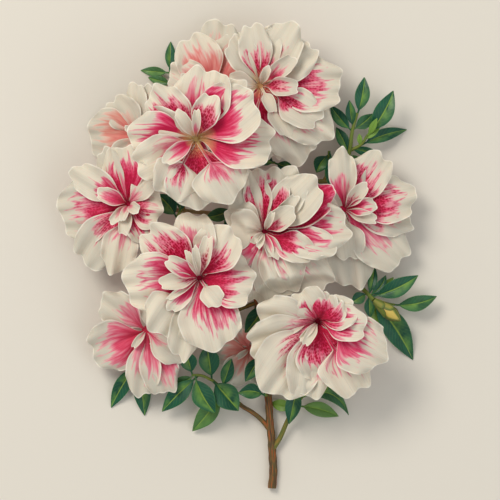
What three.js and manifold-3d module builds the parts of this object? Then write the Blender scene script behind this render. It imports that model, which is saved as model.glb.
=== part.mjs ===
// A flowering azalea branch, cut and laid on a table: eleven double blooms in a domed head, dark
// leaves in sprays between them, one green bud and a forked woody stem.
// Millimetres, +Z up. +Y runs from the cut end of the stem to the top of the flower head.
// The origin is under the middle of the branch, on the surface that it lies on.

import * as THREE from "three";
import { mergeVertices } from "three/addons/utils/BufferGeometryUtils.js";
import Module from "manifold-3d";

const wasm = await Module();
wasm.setup();

// Driving dimensions
const petalThickness = 0.7;
const leafThickness = 0.7;
const petalRoot = 1.6; // how far from the middle of the throat a petal starts
const petalRootHalf = 0.8;
const petalWidest = 0.72; // where along itself a petal is widest
const tipNarrowing = 1.3; // how quickly a petal narrows from there to its tip
const petalFrill = 0.03; // of its reach
const fullArchReach = 34; // shorter petals than this arch less
const leafStalkShare = 0.14; // of a leaf's length
const leafStalkHalf = 0.45;
const leafFold = 0.25; // how steeply the halves of a leaf rise from its rib
const leafArch = 0.07; // of a leaf's length
const throatLip = { height: 8, radius: 7 };
const smallestDetail = 0.15;
const weldDistance = 1e-3;
const narrowPetal = 27; // petals and leaves narrower than these have fewer facets
const narrowLeaf = 6.5;
const cornerGap = 0.03;
const seatGap = 0.45; // between a fork of the stem and what it carries
const stemEndRadius = 2.3; // the cut end of the main stem
const middleShift = [0.98, 0.19]; // brings the origin under the middle of the branch
const floorHeight = 0.36; // lowest middle surface of a blade that is pressed on the table
const floorSoftness = 0.9;
const roofSoftness = 1.2;
const roofReach = 3; // how far round a bloom its neighbours are still pressed under it
const roofSteepness = 0.35; // how fast that lets go further out
const layerStep = 0.95; // between petals of one bloom that are pressed on each other
const skirtDepth = 4.6; // how far a bloom's petals hang under its rim
const pressedDepth = 7; // how thick a bloom is where another presses on it

// How each kind of petal is formed. Roll is the half angle of its trough, in degrees.
const petalForms = {
  outer: { arch: 3.5, roll: 16, tilt: 11, ruffle: 0.9, shoulder: 0.23, rows: 3, columns: 4, layer: 3.4 },
  middle: { arch: 2.5, roll: 24, tilt: 11, ruffle: 0.8, shoulder: 0.22, rows: 3, columns: 4, layer: 1.7 },
  curl: { arch: 1.5, roll: 62, tilt: 0, ruffle: 0.3, shoulder: 0.24, rows: 3, columns: 2, layer: 0 },
};

// The blooms, seen from above. at is the middle of the throat and the height of the rim, depth is
// how far the throat lies below the rim, lean is the rim's slope along X and Y, and foot is where
// the tube ends on its stalk. A petal is [turn in degrees from +X, reach, width, rise at its tip].
// above names the blooms that lie over this one.
const blooms = {
  bloom_high_left: {
    at: [-29.4, 63.3, 56],
    depth: 14,
    lean: [0, 0.02],
    foot: [-24, 57, 24],
    above: [],
    outer: [
      [180, 37, 31, 0],
      [209, 37, 26, 1],
      [281, 38, 44, -3.5, 0.08],
      [244, 36, 28, 1.5, 0.58],
      [302, 40, 32, 1.5, 0.56],
      [358, 43, 33, 1],
      [52, 41, 24, -1],
      [81, 39.5, 33, 0.5],
      [131, 36.5, 23, 2],
      [151, 30, 15, 0.8],
    ],
    middle: [
      [38, 39.5, 36, 5.5],
      [68, 26, 16, 7.5],
    ],
    curl: [
      [123, 18.5, 8.5, 9],
      [86, 16, 6, 10],
      [217, 22, 11, 8],
    ],
  },
  bloom_low_left: {
    at: [-27.4, -13.3, 50],
    depth: 13.5,
    lean: [0, 0],
    foot: [-19.5, -15.5, 20],
    above: ["bloom_high_left"],
    outer: [
      [185, 42, 34, 1.5],
      [138, 40, 26, 0],
      [100, 36.5, 27, 0.5],
      [358, 30.5, 32, 0],
      [284, 41, 35, 1.5],
      [235, 39, 34, 1, 0.5],
      [257, 46, 20, -1.5],
    ],
    middle: [
      [60, 32.5, 28, 4],
      [307, 19, 13, 6, 0.45],
      [226, 24.5, 11, 5],
    ],
    curl: [
      [187, 22, 11.5, 8],
      [150, 20.5, 12, 9],
      [115, 17, 5, 9],
      [97, 18, 5.5, 10.5],
      [77, 24, 9.5, 9],
      [214, 21, 5, 7],
    ],
  },
  bloom_left: {
    at: [-66.8, 27.5, 34],
    depth: 11,
    lean: [0.34, 0.03],
    foot: [-56.5, 25.5, 14],
    above: ["bloom_high_left", "bloom_low_left"],
    outer: [
      [188, 39.2, 37, -3.5],
      [236, 41.5, 30, -4],
      [149, 37, 18, 3.5],
      [114, 34, 16, -2.5],
      [97, 33, 24, 0],
      [48, 20, 13, 1],
      [352, 19.5, 26, 0],
      [259, 39.5, 21, 0, 0.4],
      [302, 23, 19, 1],
    ],
    middle: [],
    curl: [
      [157, 18.5, 11, 6],
      [229, 14.5, 7, 7],
      [250, 10, 5.5, 8],
      [262, 17.5, 9, 5],
      [325, 7.5, 8, 8],
    ],
  },
  bloom_right: {
    at: [8.5, 12.3, 42],
    depth: 13,
    lean: [-0.06, 0],
    foot: [6, 10, 15],
    above: ["bloom_high_left", "bloom_low_left", "bloom_low_right"],
    outer: [
      [109, 35, 22, -1],
      [87, 36, 26, 1],
      [62, 39.5, 24, 2],
      [32, 45, 22, 1],
      [3, 47.5, 31, 1],
      [318, 47, 27, -1.5],
      [297, 37, 26, 2],
      [281, 40.5, 24, 0],
      [262, 40, 22, -1.5],
      [173, 20, 23, 1],
      [222, 23.5, 26, -1],
      [146, 25, 18, 0],
    ],
    middle: [
      [46, 41, 27, 5],
      [346, 41, 19, 4.5, 0.42],
      [333, 29.5, 18, 6, 0.3],
    ],
    curl: [
      [38, 20.5, 15, 9],
      [47, 27, 9, 7, 0.3],
      [300, 17, 9, 5],
      [286, 15, 6, 5],
      [66, 12, 5, 10],
      [222, 9.5, 5, 9],
      [250, 10, 4.5, 9],
    ],
  },
  bloom_top: {
    at: [6.3, 93, 34],
    depth: 11,
    lean: [-0.14, 0],
    foot: [2.5, 86, 13],
    above: ["bloom_high_left", "bloom_right"],
    outer: [
      [120, 31, 18, -2],
      [98, 34.5, 19, 1],
      [79, 33, 16, 0],
      [62, 39.5, 24, 1.5],
      [36, 37, 22, 0],
      [2, 45.5, 33, 0],
      [324, 49, 28, 0],
      [301, 49, 28, -1],
      [281, 42, 18, 1],
      [258, 30, 22, -1],
      [190, 20, 20, 0],
      [320, 25, 34, -3],
    ],
    middle: [
      [330, 38.5, 22, 4.5, 0.45],
      [303, 34.5, 14, 4.5, 0.5],
    ],
    curl: [
      [66, 11.5, 6, 9],
      [38, 24.5, 12, 8, 0.3],
      [356, 21, 13, 8, 0.25],
      [297, 17, 8.5, 6, 0.45],
    ],
  },
  bloom_far_right: {
    at: [52.7, 24.5, 25],
    depth: 9.5,
    lean: [-0.22, 0],
    foot: [45, 21, 8.5],
    above: ["bloom_right"],
    outer: [
      [93, 34, 16, 2.5],
      [70, 27, 12, -1],
      [55, 38, 24, 0],
      [13, 41, 27, 0.5],
      [348, 39, 20, -2],
      [318, 44, 30, -2],
      [279, 44, 29, -2],
      [182, 17, 17, 0],
      [232, 22, 19, 0],
    ],
    middle: [[277, 28, 20, 4, 0.3]],
    curl: [
      [50, 19, 10, 8],
      [8, 18, 12, 7],
      [341, 19, 9, 6],
    ],
  },
  bloom_low_right: {
    at: [38, -37.3, 42],
    depth: 18,
    lean: [-0.04, 0.12],
    foot: [30, -35.5, 14],
    above: [],
    outer: [
      [172, 34, 24, 1],
      [203, 41, 27, 0],
      [235, 48.5, 38, 1.5],
      [261, 43, 28, 0.5],
      [288, 34, 38, -2],
      [300, 46, 29, 0, 0.56],
      [331, 42.5, 33, 2.5, 0.46],
      [126, 20, 24, 1],
      [92, 16.5, 24, 2],
      [54, 17, 22, 3],
      [24, 22, 20, 3.5],
    ],
    middle: [[357, 27, 21, 5]],
    curl: [
      [240, 15, 7, 5],
      [226, 14.5, 4.5, 4.5],
    ],
  },
  bloom_behind_top: {
    at: [-19, 89, 20],
    depth: 8,
    lean: [0.06, -0.16],
    foot: [-16, 80, 8],
    above: ["bloom_top", "bloom_high_left"],
    outer: [
      [152, 28.5, 22, 0],
      [115, 35, 27, 1.5],
      [88, 41, 27, -2],
      [68, 36.5, 22, 1],
      [200, 15, 17, 0],
      [320, 14, 16, 0],
    ],
    middle: [],
    curl: [[153, 21, 9, 5]],
  },
  bloom_behind_left: {
    at: [-60.2, 65.5, 14.5],
    depth: 6.5,
    lean: [0.36, -0.04],
    foot: [-50, 61, 4.6],
    above: ["bloom_left", "bloom_high_left"],
    outer: [
      [178, 29.5, 31, -2],
      [128, 26, 20, 1.5],
      [97, 30, 13, 2.5],
      [82, 29, 12, 0.5],
      [236, 22, 20, 1],
      [330, 12, 14, 0],
    ],
    middle: [],
    curl: [[150, 10, 5, 4]],
  },
  bloom_behind_low: {
    at: [-57, -42.4, 20],
    depth: 8,
    lean: [0.14, 0.16],
    foot: [-47, -38, 8],
    above: ["bloom_low_left", "bloom_left"],
    outer: [
      [143, 31, 21, 1.5],
      [205, 33.5, 30, -1],
      [266, 37, 20, 1.5],
      [289, 37.5, 22, -1],
      [322, 26, 18, 1],
      [60, 13, 16, 0],
    ],
    middle: [],
    curl: [[232, 12, 5, 4]],
  },
  bloom_small: {
    at: [0.3, -52.8, 14],
    depth: 5,
    lean: [0.05, 0.1],
    foot: [2.2, -51.6, 7.6],
    above: ["bloom_low_left", "bloom_low_right"],
    outer: [
      [190, 19, 17, 0],
      [244, 22, 19, 1.2],
      [290, 20, 14, 0],
      [120, 14, 14, 1.2],
      [32, 13, 13, 0],
    ],
    middle: [],
    curl: [[215, 9, 4, 2]],
  },
};

// Green shoots. A twig is a list of points with a radius at each end, and the first twig of a
// spray starts where the stem carries it. A leaf is [where its stalk leaves the twig, where its
// tip is, width, sideways sweep].
const sprays = {
  leaves_top_left: {
    twigs: [{ radii: [1, 0.7], path: [[-38, 84, 5.5], [-41.5, 92, 5.5], [-44, 101, 6]] }],
    leaves: [
      [[-44, 101, 6], [-43.5, 118, -3], 5.5, 0],
      [[-44, 100.5, 6], [-60.2, 102, -3], 5.2, 0],
      [[-42.5, 94, 5.5], [-56, 98, 1], 5.2, 0],
    ],
  },
  leaves_top_right: {
    twigs: [
      { radii: [1.3, 0.9], path: [[52, 44.5, 9.5], [55.8, 57, 12], [57.5, 69, 14], [60, 78, 16]] },
      { radii: [1, 0.7], path: [[55.6, 57, 11.5], [62, 60.5, 11.5], [66, 66, 13]] },
    ],
    leaves: [
      [[60, 77, 15.8], [63.3, 97, 17], 8, 0.5],
      [[57.8, 70, 14.2], [55, 84.5, 17], 5.4, 0.5],
      [[57.2, 68, 13.8], [47.4, 81, 13], 6, -1],
      [[66, 66, 13], [79.4, 90.4, 16], 11, 1],
      [[57.8, 69, 14], [68.3, 78.6, 11], 6.6, -1],
      [[62, 60.5, 11.5], [86.8, 69.2, -4], 7.6, -2],
      [[66, 65.5, 13], [70.2, 75, 19], 3.4, 0],
      [[64, 63, 12], [73, 71, 13], 3.6, 0],
      [[55.4, 56, 11.8], [48, 70, 9], 7.4, -1],
      [[56, 58.5, 12], [72, 54.5, 5], 5.6, -1.5],
      [[54.8, 54, 11.4], [61.5, 47.5, 7], 7, 0],
    ],
  },
  leaves_below_top: {
    twigs: [{ radii: [1, 0.8], path: [[43.2, 45, 10], [44, 50, 11], [44.5, 57, 12]] }],
    leaves: [
      [[44.5, 57, 12], [47.3, 33.6, 15], 9.5, 1],
      [[44.3, 55, 11.5], [37.4, 45, 14], 8, -1],
    ],
  },
  leaves_centre_top: {
    twigs: [{ radii: [1, 0.7], path: [[-2.4, 50.2, 12], [5, 51, 13.6], [14.5, 50.5, 15]] }],
    leaves: [
      [[14.5, 50.5, 15], [4.5, 53.5, 19], 6.4, 0],
      [[14.5, 50.2, 15], [25, 46.5, 17], 6, 0],
    ],
  },
  leaves_centre: {
    twigs: [{ radii: [1, 0.8], path: [[-6.6, 26.6, 13.6], [-7.6, 25.8, 16], [-9, 25, 18.5]] }],
    leaves: [
      [[-9, 25, 18.5], [-24, 20.2, 23], 7.4, 1],
      [[-8.8, 25.2, 18], [-12.7, 11.5, 21], 7.4, 1],
    ],
  },
  leaves_centre_left: {
    twigs: [{ radii: [1, 0.8], path: [[-37.6, 24.6, 15.4], [-38.6, 22.6, 17], [-40, 20, 18.5]] }],
    leaves: [
      [[-40, 20, 18.5], [-51, 33, 21], 10.5, -1],
      [[-38.6, 22.6, 17], [-35, 37.5, 20], 7, 0],
    ],
  },
  leaves_right: {
    twigs: [{ radii: [1.3, 1.1], path: [[43, -12, 9], [56, -15, 10.5], [64, -20.3, 12], [69, -25.6, 15.6]] }],
    leaves: [
      [[66.5, -23, 13.4], [68.8, -6.5, 11], 5.8, 0.6],
      [[66.8, -23.2, 13.6], [75.8, -12, 13], 5, 0],
      [[66.8, -23.2, 13.2], [80.4, -12.8, 8.5], 5.4, 0],
      [[67.4, -23.8, 14], [93.6, -11.6, 14], 8.8, 1.5],
      [[67.2, -24, 12.2], [103.8, -20.2, 8], 9, -4],
      [[66.6, -23.4, 12], [90.6, -58.6, -4], 12.5, 2.5],
      [[66.4, -22.8, 12.8], [65.4, -35, 12], 5.4, 0],
      [[65.6, -21.8, 12.4], [56.4, -27.4, 14], 7, 0],
      [[67, -23.6, 12.2], [73.6, -41, 6], 6.4, 0],
    ],
  },
  leaves_low_right: {
    twigs: [{ radii: [1.2, 0.9], path: [[22.6, -90.4, 6.4], [26, -84, 7.6], [29.5, -79.4, 9]] }],
    leaves: [
      [[29.5, -79.8, 9], [55, -89.4, 5], 6.8, 5],
      [[27, -83, 8.2], [49.4, -89.8, -2], 6.6, 1.5],
      [[29.5, -79.4, 9], [43, -68.5, 14], 7.6, 0],
      [[27.4, -81.6, 8.4], [21, -94.4, 10], 7.2, 0],
      [[25, -86, 7], [15.4, -81.6, 4], 5.6, 0],
    ],
  },
  leaves_low_left: {
    twigs: [
      { radii: [1.2, 0.9], path: [[-5.2, -83.4, 7.2], [-10, -79.4, 8.5], [-15, -75, 9.5], [-20.4, -70, 10.5]] },
      { radii: [0.9, 0.7], path: [[-20, -70.4, 10.4], [-26, -67.6, 12], [-31.5, -67.2, 13]] },
    ],
    leaves: [
      [[-27, -67.6, 12], [-48.4, -87.2, 7], 9.6, 1.5],
      [[-31.4, -67, 13], [-18.6, -87.8, 16], 10.8, 2],
      [[-20.4, -70, 10.5], [-5.8, -87, 14], 11.8, -2.5],
      [[-13, -76.8, 9], [-31.8, -98.4, -1], 8.8, -2.5],
      [[-16, -74, 9.6], [-9.8, -57.8, 19.5], 6.8, 0],
      [[-20.4, -70, 10.5], [-23.6, -50, 17], 11, 0],
      [[-31.4, -67, 13], [-36, -54, 16], 9, 0],
    ],
  },
  leaves_far_left: {
    twigs: [{ radii: [0.9, 0.7], path: [[-48, -47, 6], [-55, -58, 5.5], [-60, -65, 5.5]] }],
    leaves: [
      [[-60, -65, 5.5], [-77, -85.4, -3], 7.8, 1],
      [[-59.6, -64.6, 5.5], [-57.8, -89.6, -3], 8.4, 0.8],
    ],
  },
  leaves_low_centre: {
    twigs: [{ radii: [0.9, 0.8], path: [[9.6, -78.4, 8.4], [9.4, -78.4, 11.5], [8.6, -78, 15]] }],
    leaves: [
      [[8.6, -78, 15], [-6, -75.8, 17], 8.2, -1],
      [[8.8, -78, 14.4], [7.4, -67, 18.5], 6, 0],
    ],
  },
  leaves_under_low_right: {
    twigs: [{ radii: [0.9, 0.8], path: [[9.8, -56.2, 10.2], [9.6, -55.8, 14], [7, -55.6, 19.5]] }],
    leaves: [[[7, -55.6, 19.5], [-2, -70.6, 20.5], 7.8, 0]],
  },
  leaves_between: {
    twigs: [{ radii: [0.9, 0.8], path: [[7.4, -26, 13], [8.4, -26, 15.5], [9.2, -26.4, 18]] }],
    leaves: [
      [[9.2, -26.4, 18], [-2.2, -43.6, 26], 10, 1],
      [[9.2, -26.4, 17.8], [2.8, -45.8, 23], 8.4, 0.5],
    ],
  },
};

// The woody stem from its cut end up, with its radius at each point.
const stemPath = [
  [12.9, -130.4, 2.3],
  [13.5, -118, 2.5],
  [12.4, -102, 3.6],
  [10.7, -80, 5.6],
  [8.5, -58, 7.6],
  [5.8, -36, 9],
  [2.5, -14, 9.6],
  [-2, 8, 9.8],
  [-5.5, 30, 10],
  [-8, 49, 10],
  [-10, 64, 10],
];
const stemRadii = [stemEndRadius, 2.25, 2.15, 1.95, 1.85, 1.75, 1.65, 1.55, 1.45, 1.35, 1.2];

// Its forks, each named for the bloom or the green shoot that it carries and ends under.
const forks = {
  bloom_high_left: { radii: [1.1, 1.2], path: [[-9.6, 60, 10], [-15, 58, 13]] },
  bloom_low_left: { radii: [1.1, 1.2], path: [[3, -17, 9.6], [-5, -16, 12]] },
  bloom_left: { radii: [1.2, 1.2], path: [[-4, 21, 9.8], [-20, 22.4, 8.6], [-38, 24, 9.4]] },
  bloom_right: { radii: [1.1, 1.2], path: [[-1.6, 6, 9.8]] },
  bloom_top: { radii: [1.1, 1.2], path: [[-9.8, 62, 10], [-4, 72, 9.4]] },
  bloom_far_right: { radii: [1, 1.2], path: [[16, 35.4, 9], [27, 26, 7]] },
  bloom_low_right: { radii: [1.1, 1.2], path: [[6.4, -40, 8.8], [16, -38, 9.6]] },
  bloom_behind_top: { radii: [1.1, 1.2], path: [[-9.8, 63, 10], [-12, 70, 8.4]] },
  bloom_behind_left: { radii: [1, 1.2], path: [[-22, 50.4, 7.6], [-36, 55, 5.2]] },
  bloom_behind_low: { radii: [1, 1.2], path: [[-30, -37, 6.1]] },
  bloom_small: { radii: [1, 1], path: [[7.6, -49, 8]] },
  leaves_top_left: { radii: [1.2, 1], path: [[-8.6, 53, 10], [-20, 50, 8], [-32, 56, 5.6]] },
  leaves_top_right: { radii: [1.3, 1.3], path: [[-5.6, 31, 10], [14, 35, 9], [34, 39.4, 8]] },
  leaves_below_top: { radii: [1, 1], path: [[42, 41.4, 8.2]] },
  leaves_centre_top: { radii: [1, 1], path: [[-8, 49.6, 10]] },
  leaves_centre: { radii: [1, 1], path: [[-5, 27.6, 9.9]] },
  leaves_centre_left: { radii: [1, 1], path: [[-36, 23.8, 9.2]] },
  leaves_right: { radii: [1.3, 1.3], path: [[3.4, -20, 9.4], [16, -19, 8.6], [30, -14.6, 8.4]] },
  leaves_low_right: { radii: [1.5, 1.2], path: [[13.6, -108, 3.4], [17.4, -102, 4], [20, -96, 5.2]] },
  leaves_low_left: { radii: [1.4, 1.2], path: [[11.6, -98, 4], [7.2, -92.4, 4.8], [1.2, -87.6, 5.8]] },
  leaves_far_left: { radii: [1.2, 0.9], path: [[4.4, -27, 9.2], [-12, -33, 7.4], [-32, -37.5, 6]] },
  leaves_low_centre: { radii: [1, 0.9], path: [[10.2, -77, 5.9]] },
  leaves_under_low_right: { radii: [1, 0.9], path: [[8.4, -57, 7.6]] },
  leaves_between: { radii: [1, 0.9], path: [[4.6, -26, 9.4]] },
};

const toRadians = Math.PI / 180;

function bezier(a, b, c, d, t) {
  const s = 1 - t;
  return s * s * s * a + 3 * s * s * t * b + 3 * s * t * t * c + t * t * t * d;
}

function bezierSlope(a, b, c, d, t) {
  const s = 1 - t;
  return 3 * (s * s * (b - a) + 2 * s * t * (c - b) + t * t * (d - c));
}

// The lower of two heights, and the higher, with a rounded change from one to the other.
function softLower(a, b, softness) {
  const gap = (a - b) / softness;
  if (gap > 30) return b;
  return a - softness * Math.log(1 + Math.exp(gap));
}

function softHigher(a, b, softness) {
  return -softLower(-a, -b, softness);
}

function rimPetals(bloom) {
  return [...bloom.outer, ...bloom.middle];
}

// The height under a bloom's rim at a point, rising steeply away from its petals.
function underRim(name, x, y) {
  const bloom = blooms[name];
  const dx = x - bloom.at[0];
  const dy = y - bloom.at[1];
  let away = Infinity;
  let lowest = 0;
  for (const [turn, reach, width, rise] of rimPetals(bloom)) {
    const along = dx * Math.cos(turn * toRadians) + dy * Math.sin(turn * toRadians);
    const on = Math.min(Math.max(along, 0), reach - width / 2);
    const ox = dx - on * Math.cos(turn * toRadians);
    const oy = dy - on * Math.sin(turn * toRadians);
    away = Math.min(away, Math.hypot(ox, oy) - width / 2);
    lowest = Math.min(lowest, rise);
  }
  const beyond = Math.max(0, away - roofReach);
  const own = bloom.at[2] + bloom.lean[0] * dx + bloom.lean[1] * dy - skirtDepth + lowest;
  return Math.min(own, roofOver(bloom, x, y) - pressedDepth) + roofSteepness * beyond * beyond;
}

function roofOver(bloom, x, y) {
  return Math.min(Infinity, ...bloom.above.map((name) => underRim(name, x, y)));
}

// A point of a petal's middle surface. u runs from root to tip and v from edge to edge.
function petalPoint(bloom, petal, form, order, u, v) {
  const [turn, reach, width, rise, claw = 0] = petal;
  const phase = 2.4 * order + turn * toRadians;
  const layer = layerStep * (order % 3);
  const alongStops = [petalRoot, 0.1 * reach, 0.5 * reach, reach];
  const arch = form.arch * Math.min(1, reach / fullArchReach);
  const liftStops = [-bloom.depth, -0.1 * bloom.depth, rise + arch, rise];
  const shoulder = form.shoulder * u ** 3 * Math.abs(v) ** 2.4;
  const frill = petalFrill * u ** 4 * Math.sin(5.5 * v + phase);
  const centre = bezier(...alongStops, u) * (1 - shoulder + frill);
  const lift = bezier(...liftStops, u);
  const slope = [bezierSlope(...alongStops, u), bezierSlope(...liftStops, u)];
  const run = Math.hypot(...slope);
  const opened = Math.min(Math.max((u - claw) / (petalWidest - claw), 0), 1);
  const growing = Math.sin(opened * (Math.PI / 2)) ** (3.4 - 4.4 * claw);
  const spread = u < petalWidest ? growing : 1 - tipNarrowing * (u - petalWidest) ** 2;
  const half = petalRootHalf + (width / 2 - petalRootHalf) * spread;
  const roll = form.roll * toRadians;
  const across = (half * Math.sin(roll * v)) / roll;
  const wave = Math.sin(1.5 * Math.PI * v + phase) * (0.35 + 0.65 * Math.abs(v));
  const edgeWave = Math.abs(v) ** 3 * Math.sin(7 * u + 1.7 * phase);
  const off =
    (half * (1 - Math.cos(roll * v))) / roll +
    half * v * Math.tan(form.tilt * toRadians) +
    form.ruffle * u * u * (wave + 0.6 * edgeWave);
  const along = centre - (slope[1] / run) * off;
  const cos = Math.cos(turn * toRadians);
  const sin = Math.sin(turn * toRadians);
  const dx = along * cos - across * sin;
  const dy = along * sin + across * cos;
  const z = bloom.at[2] + lift + (slope[0] / run) * off + bloom.lean[0] * dx + bloom.lean[1] * dy;
  const point = [bloom.at[0] + dx, bloom.at[1] + dy, z];
  const roof = roofOver(bloom, point[0], point[1]) - form.layer - layer;
  point[2] = softHigher(softLower(z, roof, roofSoftness), floorHeight + layer, floorSoftness);
  return new THREE.Vector3(...point);
}

// A point of a leaf's middle surface: folded along its rib, pointed at both ends.
function leafPoint([from, to, width, sweep], u, v) {
  const start = new THREE.Vector3(...from);
  const end = new THREE.Vector3(...to);
  const way = end.clone().sub(start);
  const length = Math.hypot(way.x, way.y);
  const side = new THREE.Vector3(-way.y / length, way.x / length, 0);
  const opened = Math.max(0, (u - leafStalkShare) / (1 - leafStalkShare));
  const half = leafStalkHalf + (width / 2 - leafStalkHalf) * Math.sin(Math.PI * opened ** 0.9) ** 0.8;
  const point = start.addScaledVector(way, u);
  point.addScaledVector(side, v * half + sweep * 4 * u * (1 - u));
  point.z += leafArch * length * 4 * u * (1 - u) + leafFold * half * Math.abs(v);
  point.z = softHigher(point.z, floorHeight, floorSoftness);
  return point;
}

// A closed blade of even thickness from a surface of (u, v), with v from -1 to 1.
function bladeGeometry(surface, rows, columns, thickness) {
  const middle = (i, j) => surface(i / rows, (2 * j) / columns - 1);
  const positions = [];
  for (const side of [1, -1]) {
    for (let i = 0; i <= rows; i++) {
      for (let j = 0; j <= columns; j++) {
        const alongU = middle(Math.min(i + 0.5, rows), j).sub(middle(Math.max(i - 0.5, 0), j));
        const alongV = middle(i, Math.min(j + 0.5, columns)).sub(middle(i, Math.max(j - 0.5, 0)));
        const normal = alongU.cross(alongV).normalize();
        const point = middle(i, j).addScaledVector(normal, (side * thickness) / 2);
        positions.push(point.x, point.y, point.z);
      }
    }
  }
  const top = (i, j) => i * (columns + 1) + j;
  const under = (i, j) => (rows + 1) * (columns + 1) + top(i, j);
  const faces = [];
  for (let i = 0; i < rows; i++) {
    for (let j = 0; j < columns; j++) {
      faces.push(top(i, j), top(i + 1, j), top(i + 1, j + 1), top(i, j), top(i + 1, j + 1), top(i, j + 1));
      faces.push(under(i, j), under(i + 1, j + 1), under(i + 1, j));
      faces.push(under(i, j), under(i, j + 1), under(i + 1, j + 1));
    }
  }
  const rim = [];
  for (let j = 0; j < columns; j++) rim.push([0, j]);
  for (let i = 0; i < rows; i++) rim.push([i, columns]);
  for (let j = columns; j > 0; j--) rim.push([rows, j]);
  for (let i = rows; i > 0; i--) rim.push([i, 0]);
  rim.forEach(([i, j], k) => {
    const [p, q] = rim[(k + 1) % rim.length];
    faces.push(top(i, j), top(p, q), under(p, q), top(i, j), under(p, q), under(i, j));
  });
  const geometry = new THREE.BufferGeometry();
  geometry.setAttribute("position", new THREE.Float32BufferAttribute(positions, 3));
  geometry.setIndex(faces);
  return geometry;
}

// A closed tapered tube along a smooth curve through the points.
function tubeGeometry(path, radii, sides, steps) {
  const curve = new THREE.CatmullRomCurve3(path.map((p) => new THREE.Vector3(...p)));
  const frames = curve.computeFrenetFrames(steps, false);
  const positions = [];
  for (let i = 0; i <= steps; i++) {
    const centre = curve.getPointAt(i / steps);
    const radius = radiusAt(radii, i / steps);
    for (let k = 0; k < sides; k++) {
      const turn = (2 * Math.PI * k) / sides;
      const point = centre.clone();
      point.addScaledVector(frames.normals[i], radius * Math.cos(turn));
      point.addScaledVector(frames.binormals[i], radius * Math.sin(turn));
      positions.push(point.x, point.y, point.z);
    }
  }
  const faces = [];
  for (let i = 0; i < steps; i++) {
    for (let k = 0; k < sides; k++) {
      const a = i * sides + k;
      const b = i * sides + ((k + 1) % sides);
      faces.push(a, b, b + sides, a, b + sides, a + sides);
    }
  }
  for (let k = 1; k < sides - 1; k++) {
    const end = steps * sides;
    faces.push(0, k + 1, k, end, end + k, end + k + 1);
  }
  const geometry = new THREE.BufferGeometry();
  geometry.setAttribute("position", new THREE.Float32BufferAttribute(positions, 3));
  geometry.setIndex(faces);
  return geometry;
}

function radiusAt(radii, t) {
  const place = t * (radii.length - 1);
  const i = Math.min(Math.floor(place), radii.length - 2);
  return THREE.MathUtils.lerp(radii[i], radii[i + 1], place - i);
}

function toSolid(geometry) {
  const bare = geometry.clone();
  bare.deleteAttribute("normal");
  bare.deleteAttribute("uv");
  const merged = mergeVertices(bare, weldDistance);
  return new wasm.Manifold(
    new wasm.Mesh({
      numProp: 3,
      vertProperties: new Float32Array(merged.attributes.position.array),
      triVerts: new Uint32Array(merged.index.array),
    }),
  );
}

// One solid from pieces that grow into each other. The hollows that joining seals are filled.
function join(geometries) {
  const whole = geometries.map(toSolid).reduce((sum, piece) => sum.add(piece));
  const plain = largestBody(whole).asOriginal().simplify(smallestDetail);
  return largestBody(toSolid(partCorners(toGeometry(plain))));
}

// Where two corners of a solid meet in one point, each is drawn back a little into its own side.
function partCorners(geometry) {
  const { position } = geometry.attributes;
  const at = (i) => new THREE.Vector3().fromBufferAttribute(position, i);
  const sums = Array.from({ length: position.count }, () => ({ total: new THREE.Vector3(), count: 0 }));
  const index = geometry.index.array;
  index.forEach((corner, k) => {
    const next = index[k % 3 === 2 ? k - 2 : k + 1];
    sums[corner].total.add(at(next));
    sums[corner].count += 1;
  });
  const places = new Map();
  for (let i = 0; i < position.count; i++) {
    const place = at(i).toArray().map((c) => c.toFixed(2)).join();
    places.set(place, [...(places.get(place) ?? []), i]);
  }
  for (const shared of places.values()) {
    if (shared.length < 2) continue;
    const moved = shared.map((i) => {
      const way = sums[i].total.clone().divideScalar(sums[i].count).sub(at(i)).normalize();
      return at(i).addScaledVector(way, cornerGap);
    });
    shared.forEach((i, k) => position.setXYZ(i, ...moved[k].toArray()));
  }
  return geometry;
}

function largestBody(solid) {
  return solid.decompose().reduce((most, body) => (body.volume() > most.volume() ? body : most));
}

function toGeometry(solid) {
  const data = solid.getMesh();
  const geometry = new THREE.BufferGeometry();
  geometry.setAttribute("position", new THREE.Float32BufferAttribute(data.vertProperties, 3));
  geometry.setIndex(Array.from(data.triVerts));
  return geometry;
}

function toMesh(name, solid, material) {
  const geometry = toGeometry(solid);
  geometry.computeVertexNormals();
  const mesh = new THREE.Mesh(geometry, material);
  mesh.name = name;
  return mesh;
}

function finish(color, roughness) {
  return new THREE.MeshStandardMaterial({ color, roughness, metalness: 0, side: THREE.DoubleSide });
}

const petalFinish = finish(0xe9dccb, 0.6);
const leafFinish = finish(0x1f5c3a, 0.45);
const barkFinish = finish(0x6b4a35, 0.8);
const budFinish = finish(0xa3a04a, 0.5);

function throatOf(bloom) {
  return [bloom.at[0], bloom.at[1], bloom.at[2] - bloom.depth];
}

function buildBloom(name) {
  const bloom = blooms[name];
  const pieces = [];
  const throat = throatOf(bloom);
  const neck = throat.map((c, k) => THREE.MathUtils.lerp(c, bloom.foot[k], 0.6));
  const lip = [throat[0], throat[1], throat[2] + throatLip.height];
  pieces.push(tubeGeometry([lip, throat, neck, bloom.foot], [throatLip.radius, 4.4, 2.6, 1.5], 8, 4));
  for (const kind of ["outer", "middle", "curl"]) {
    const form = petalForms[kind];
    bloom[kind].forEach((petal, k) => {
      const surface = (u, v) => petalPoint(bloom, petal, form, k, u, v);
      const columns = petal[2] < narrowPetal ? Math.min(form.columns, 3) : form.columns;
      pieces.push(bladeGeometry(surface, form.rows, columns, petalThickness));
    });
  }
  return toMesh(name, join(pieces), petalFinish);
}

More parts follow.
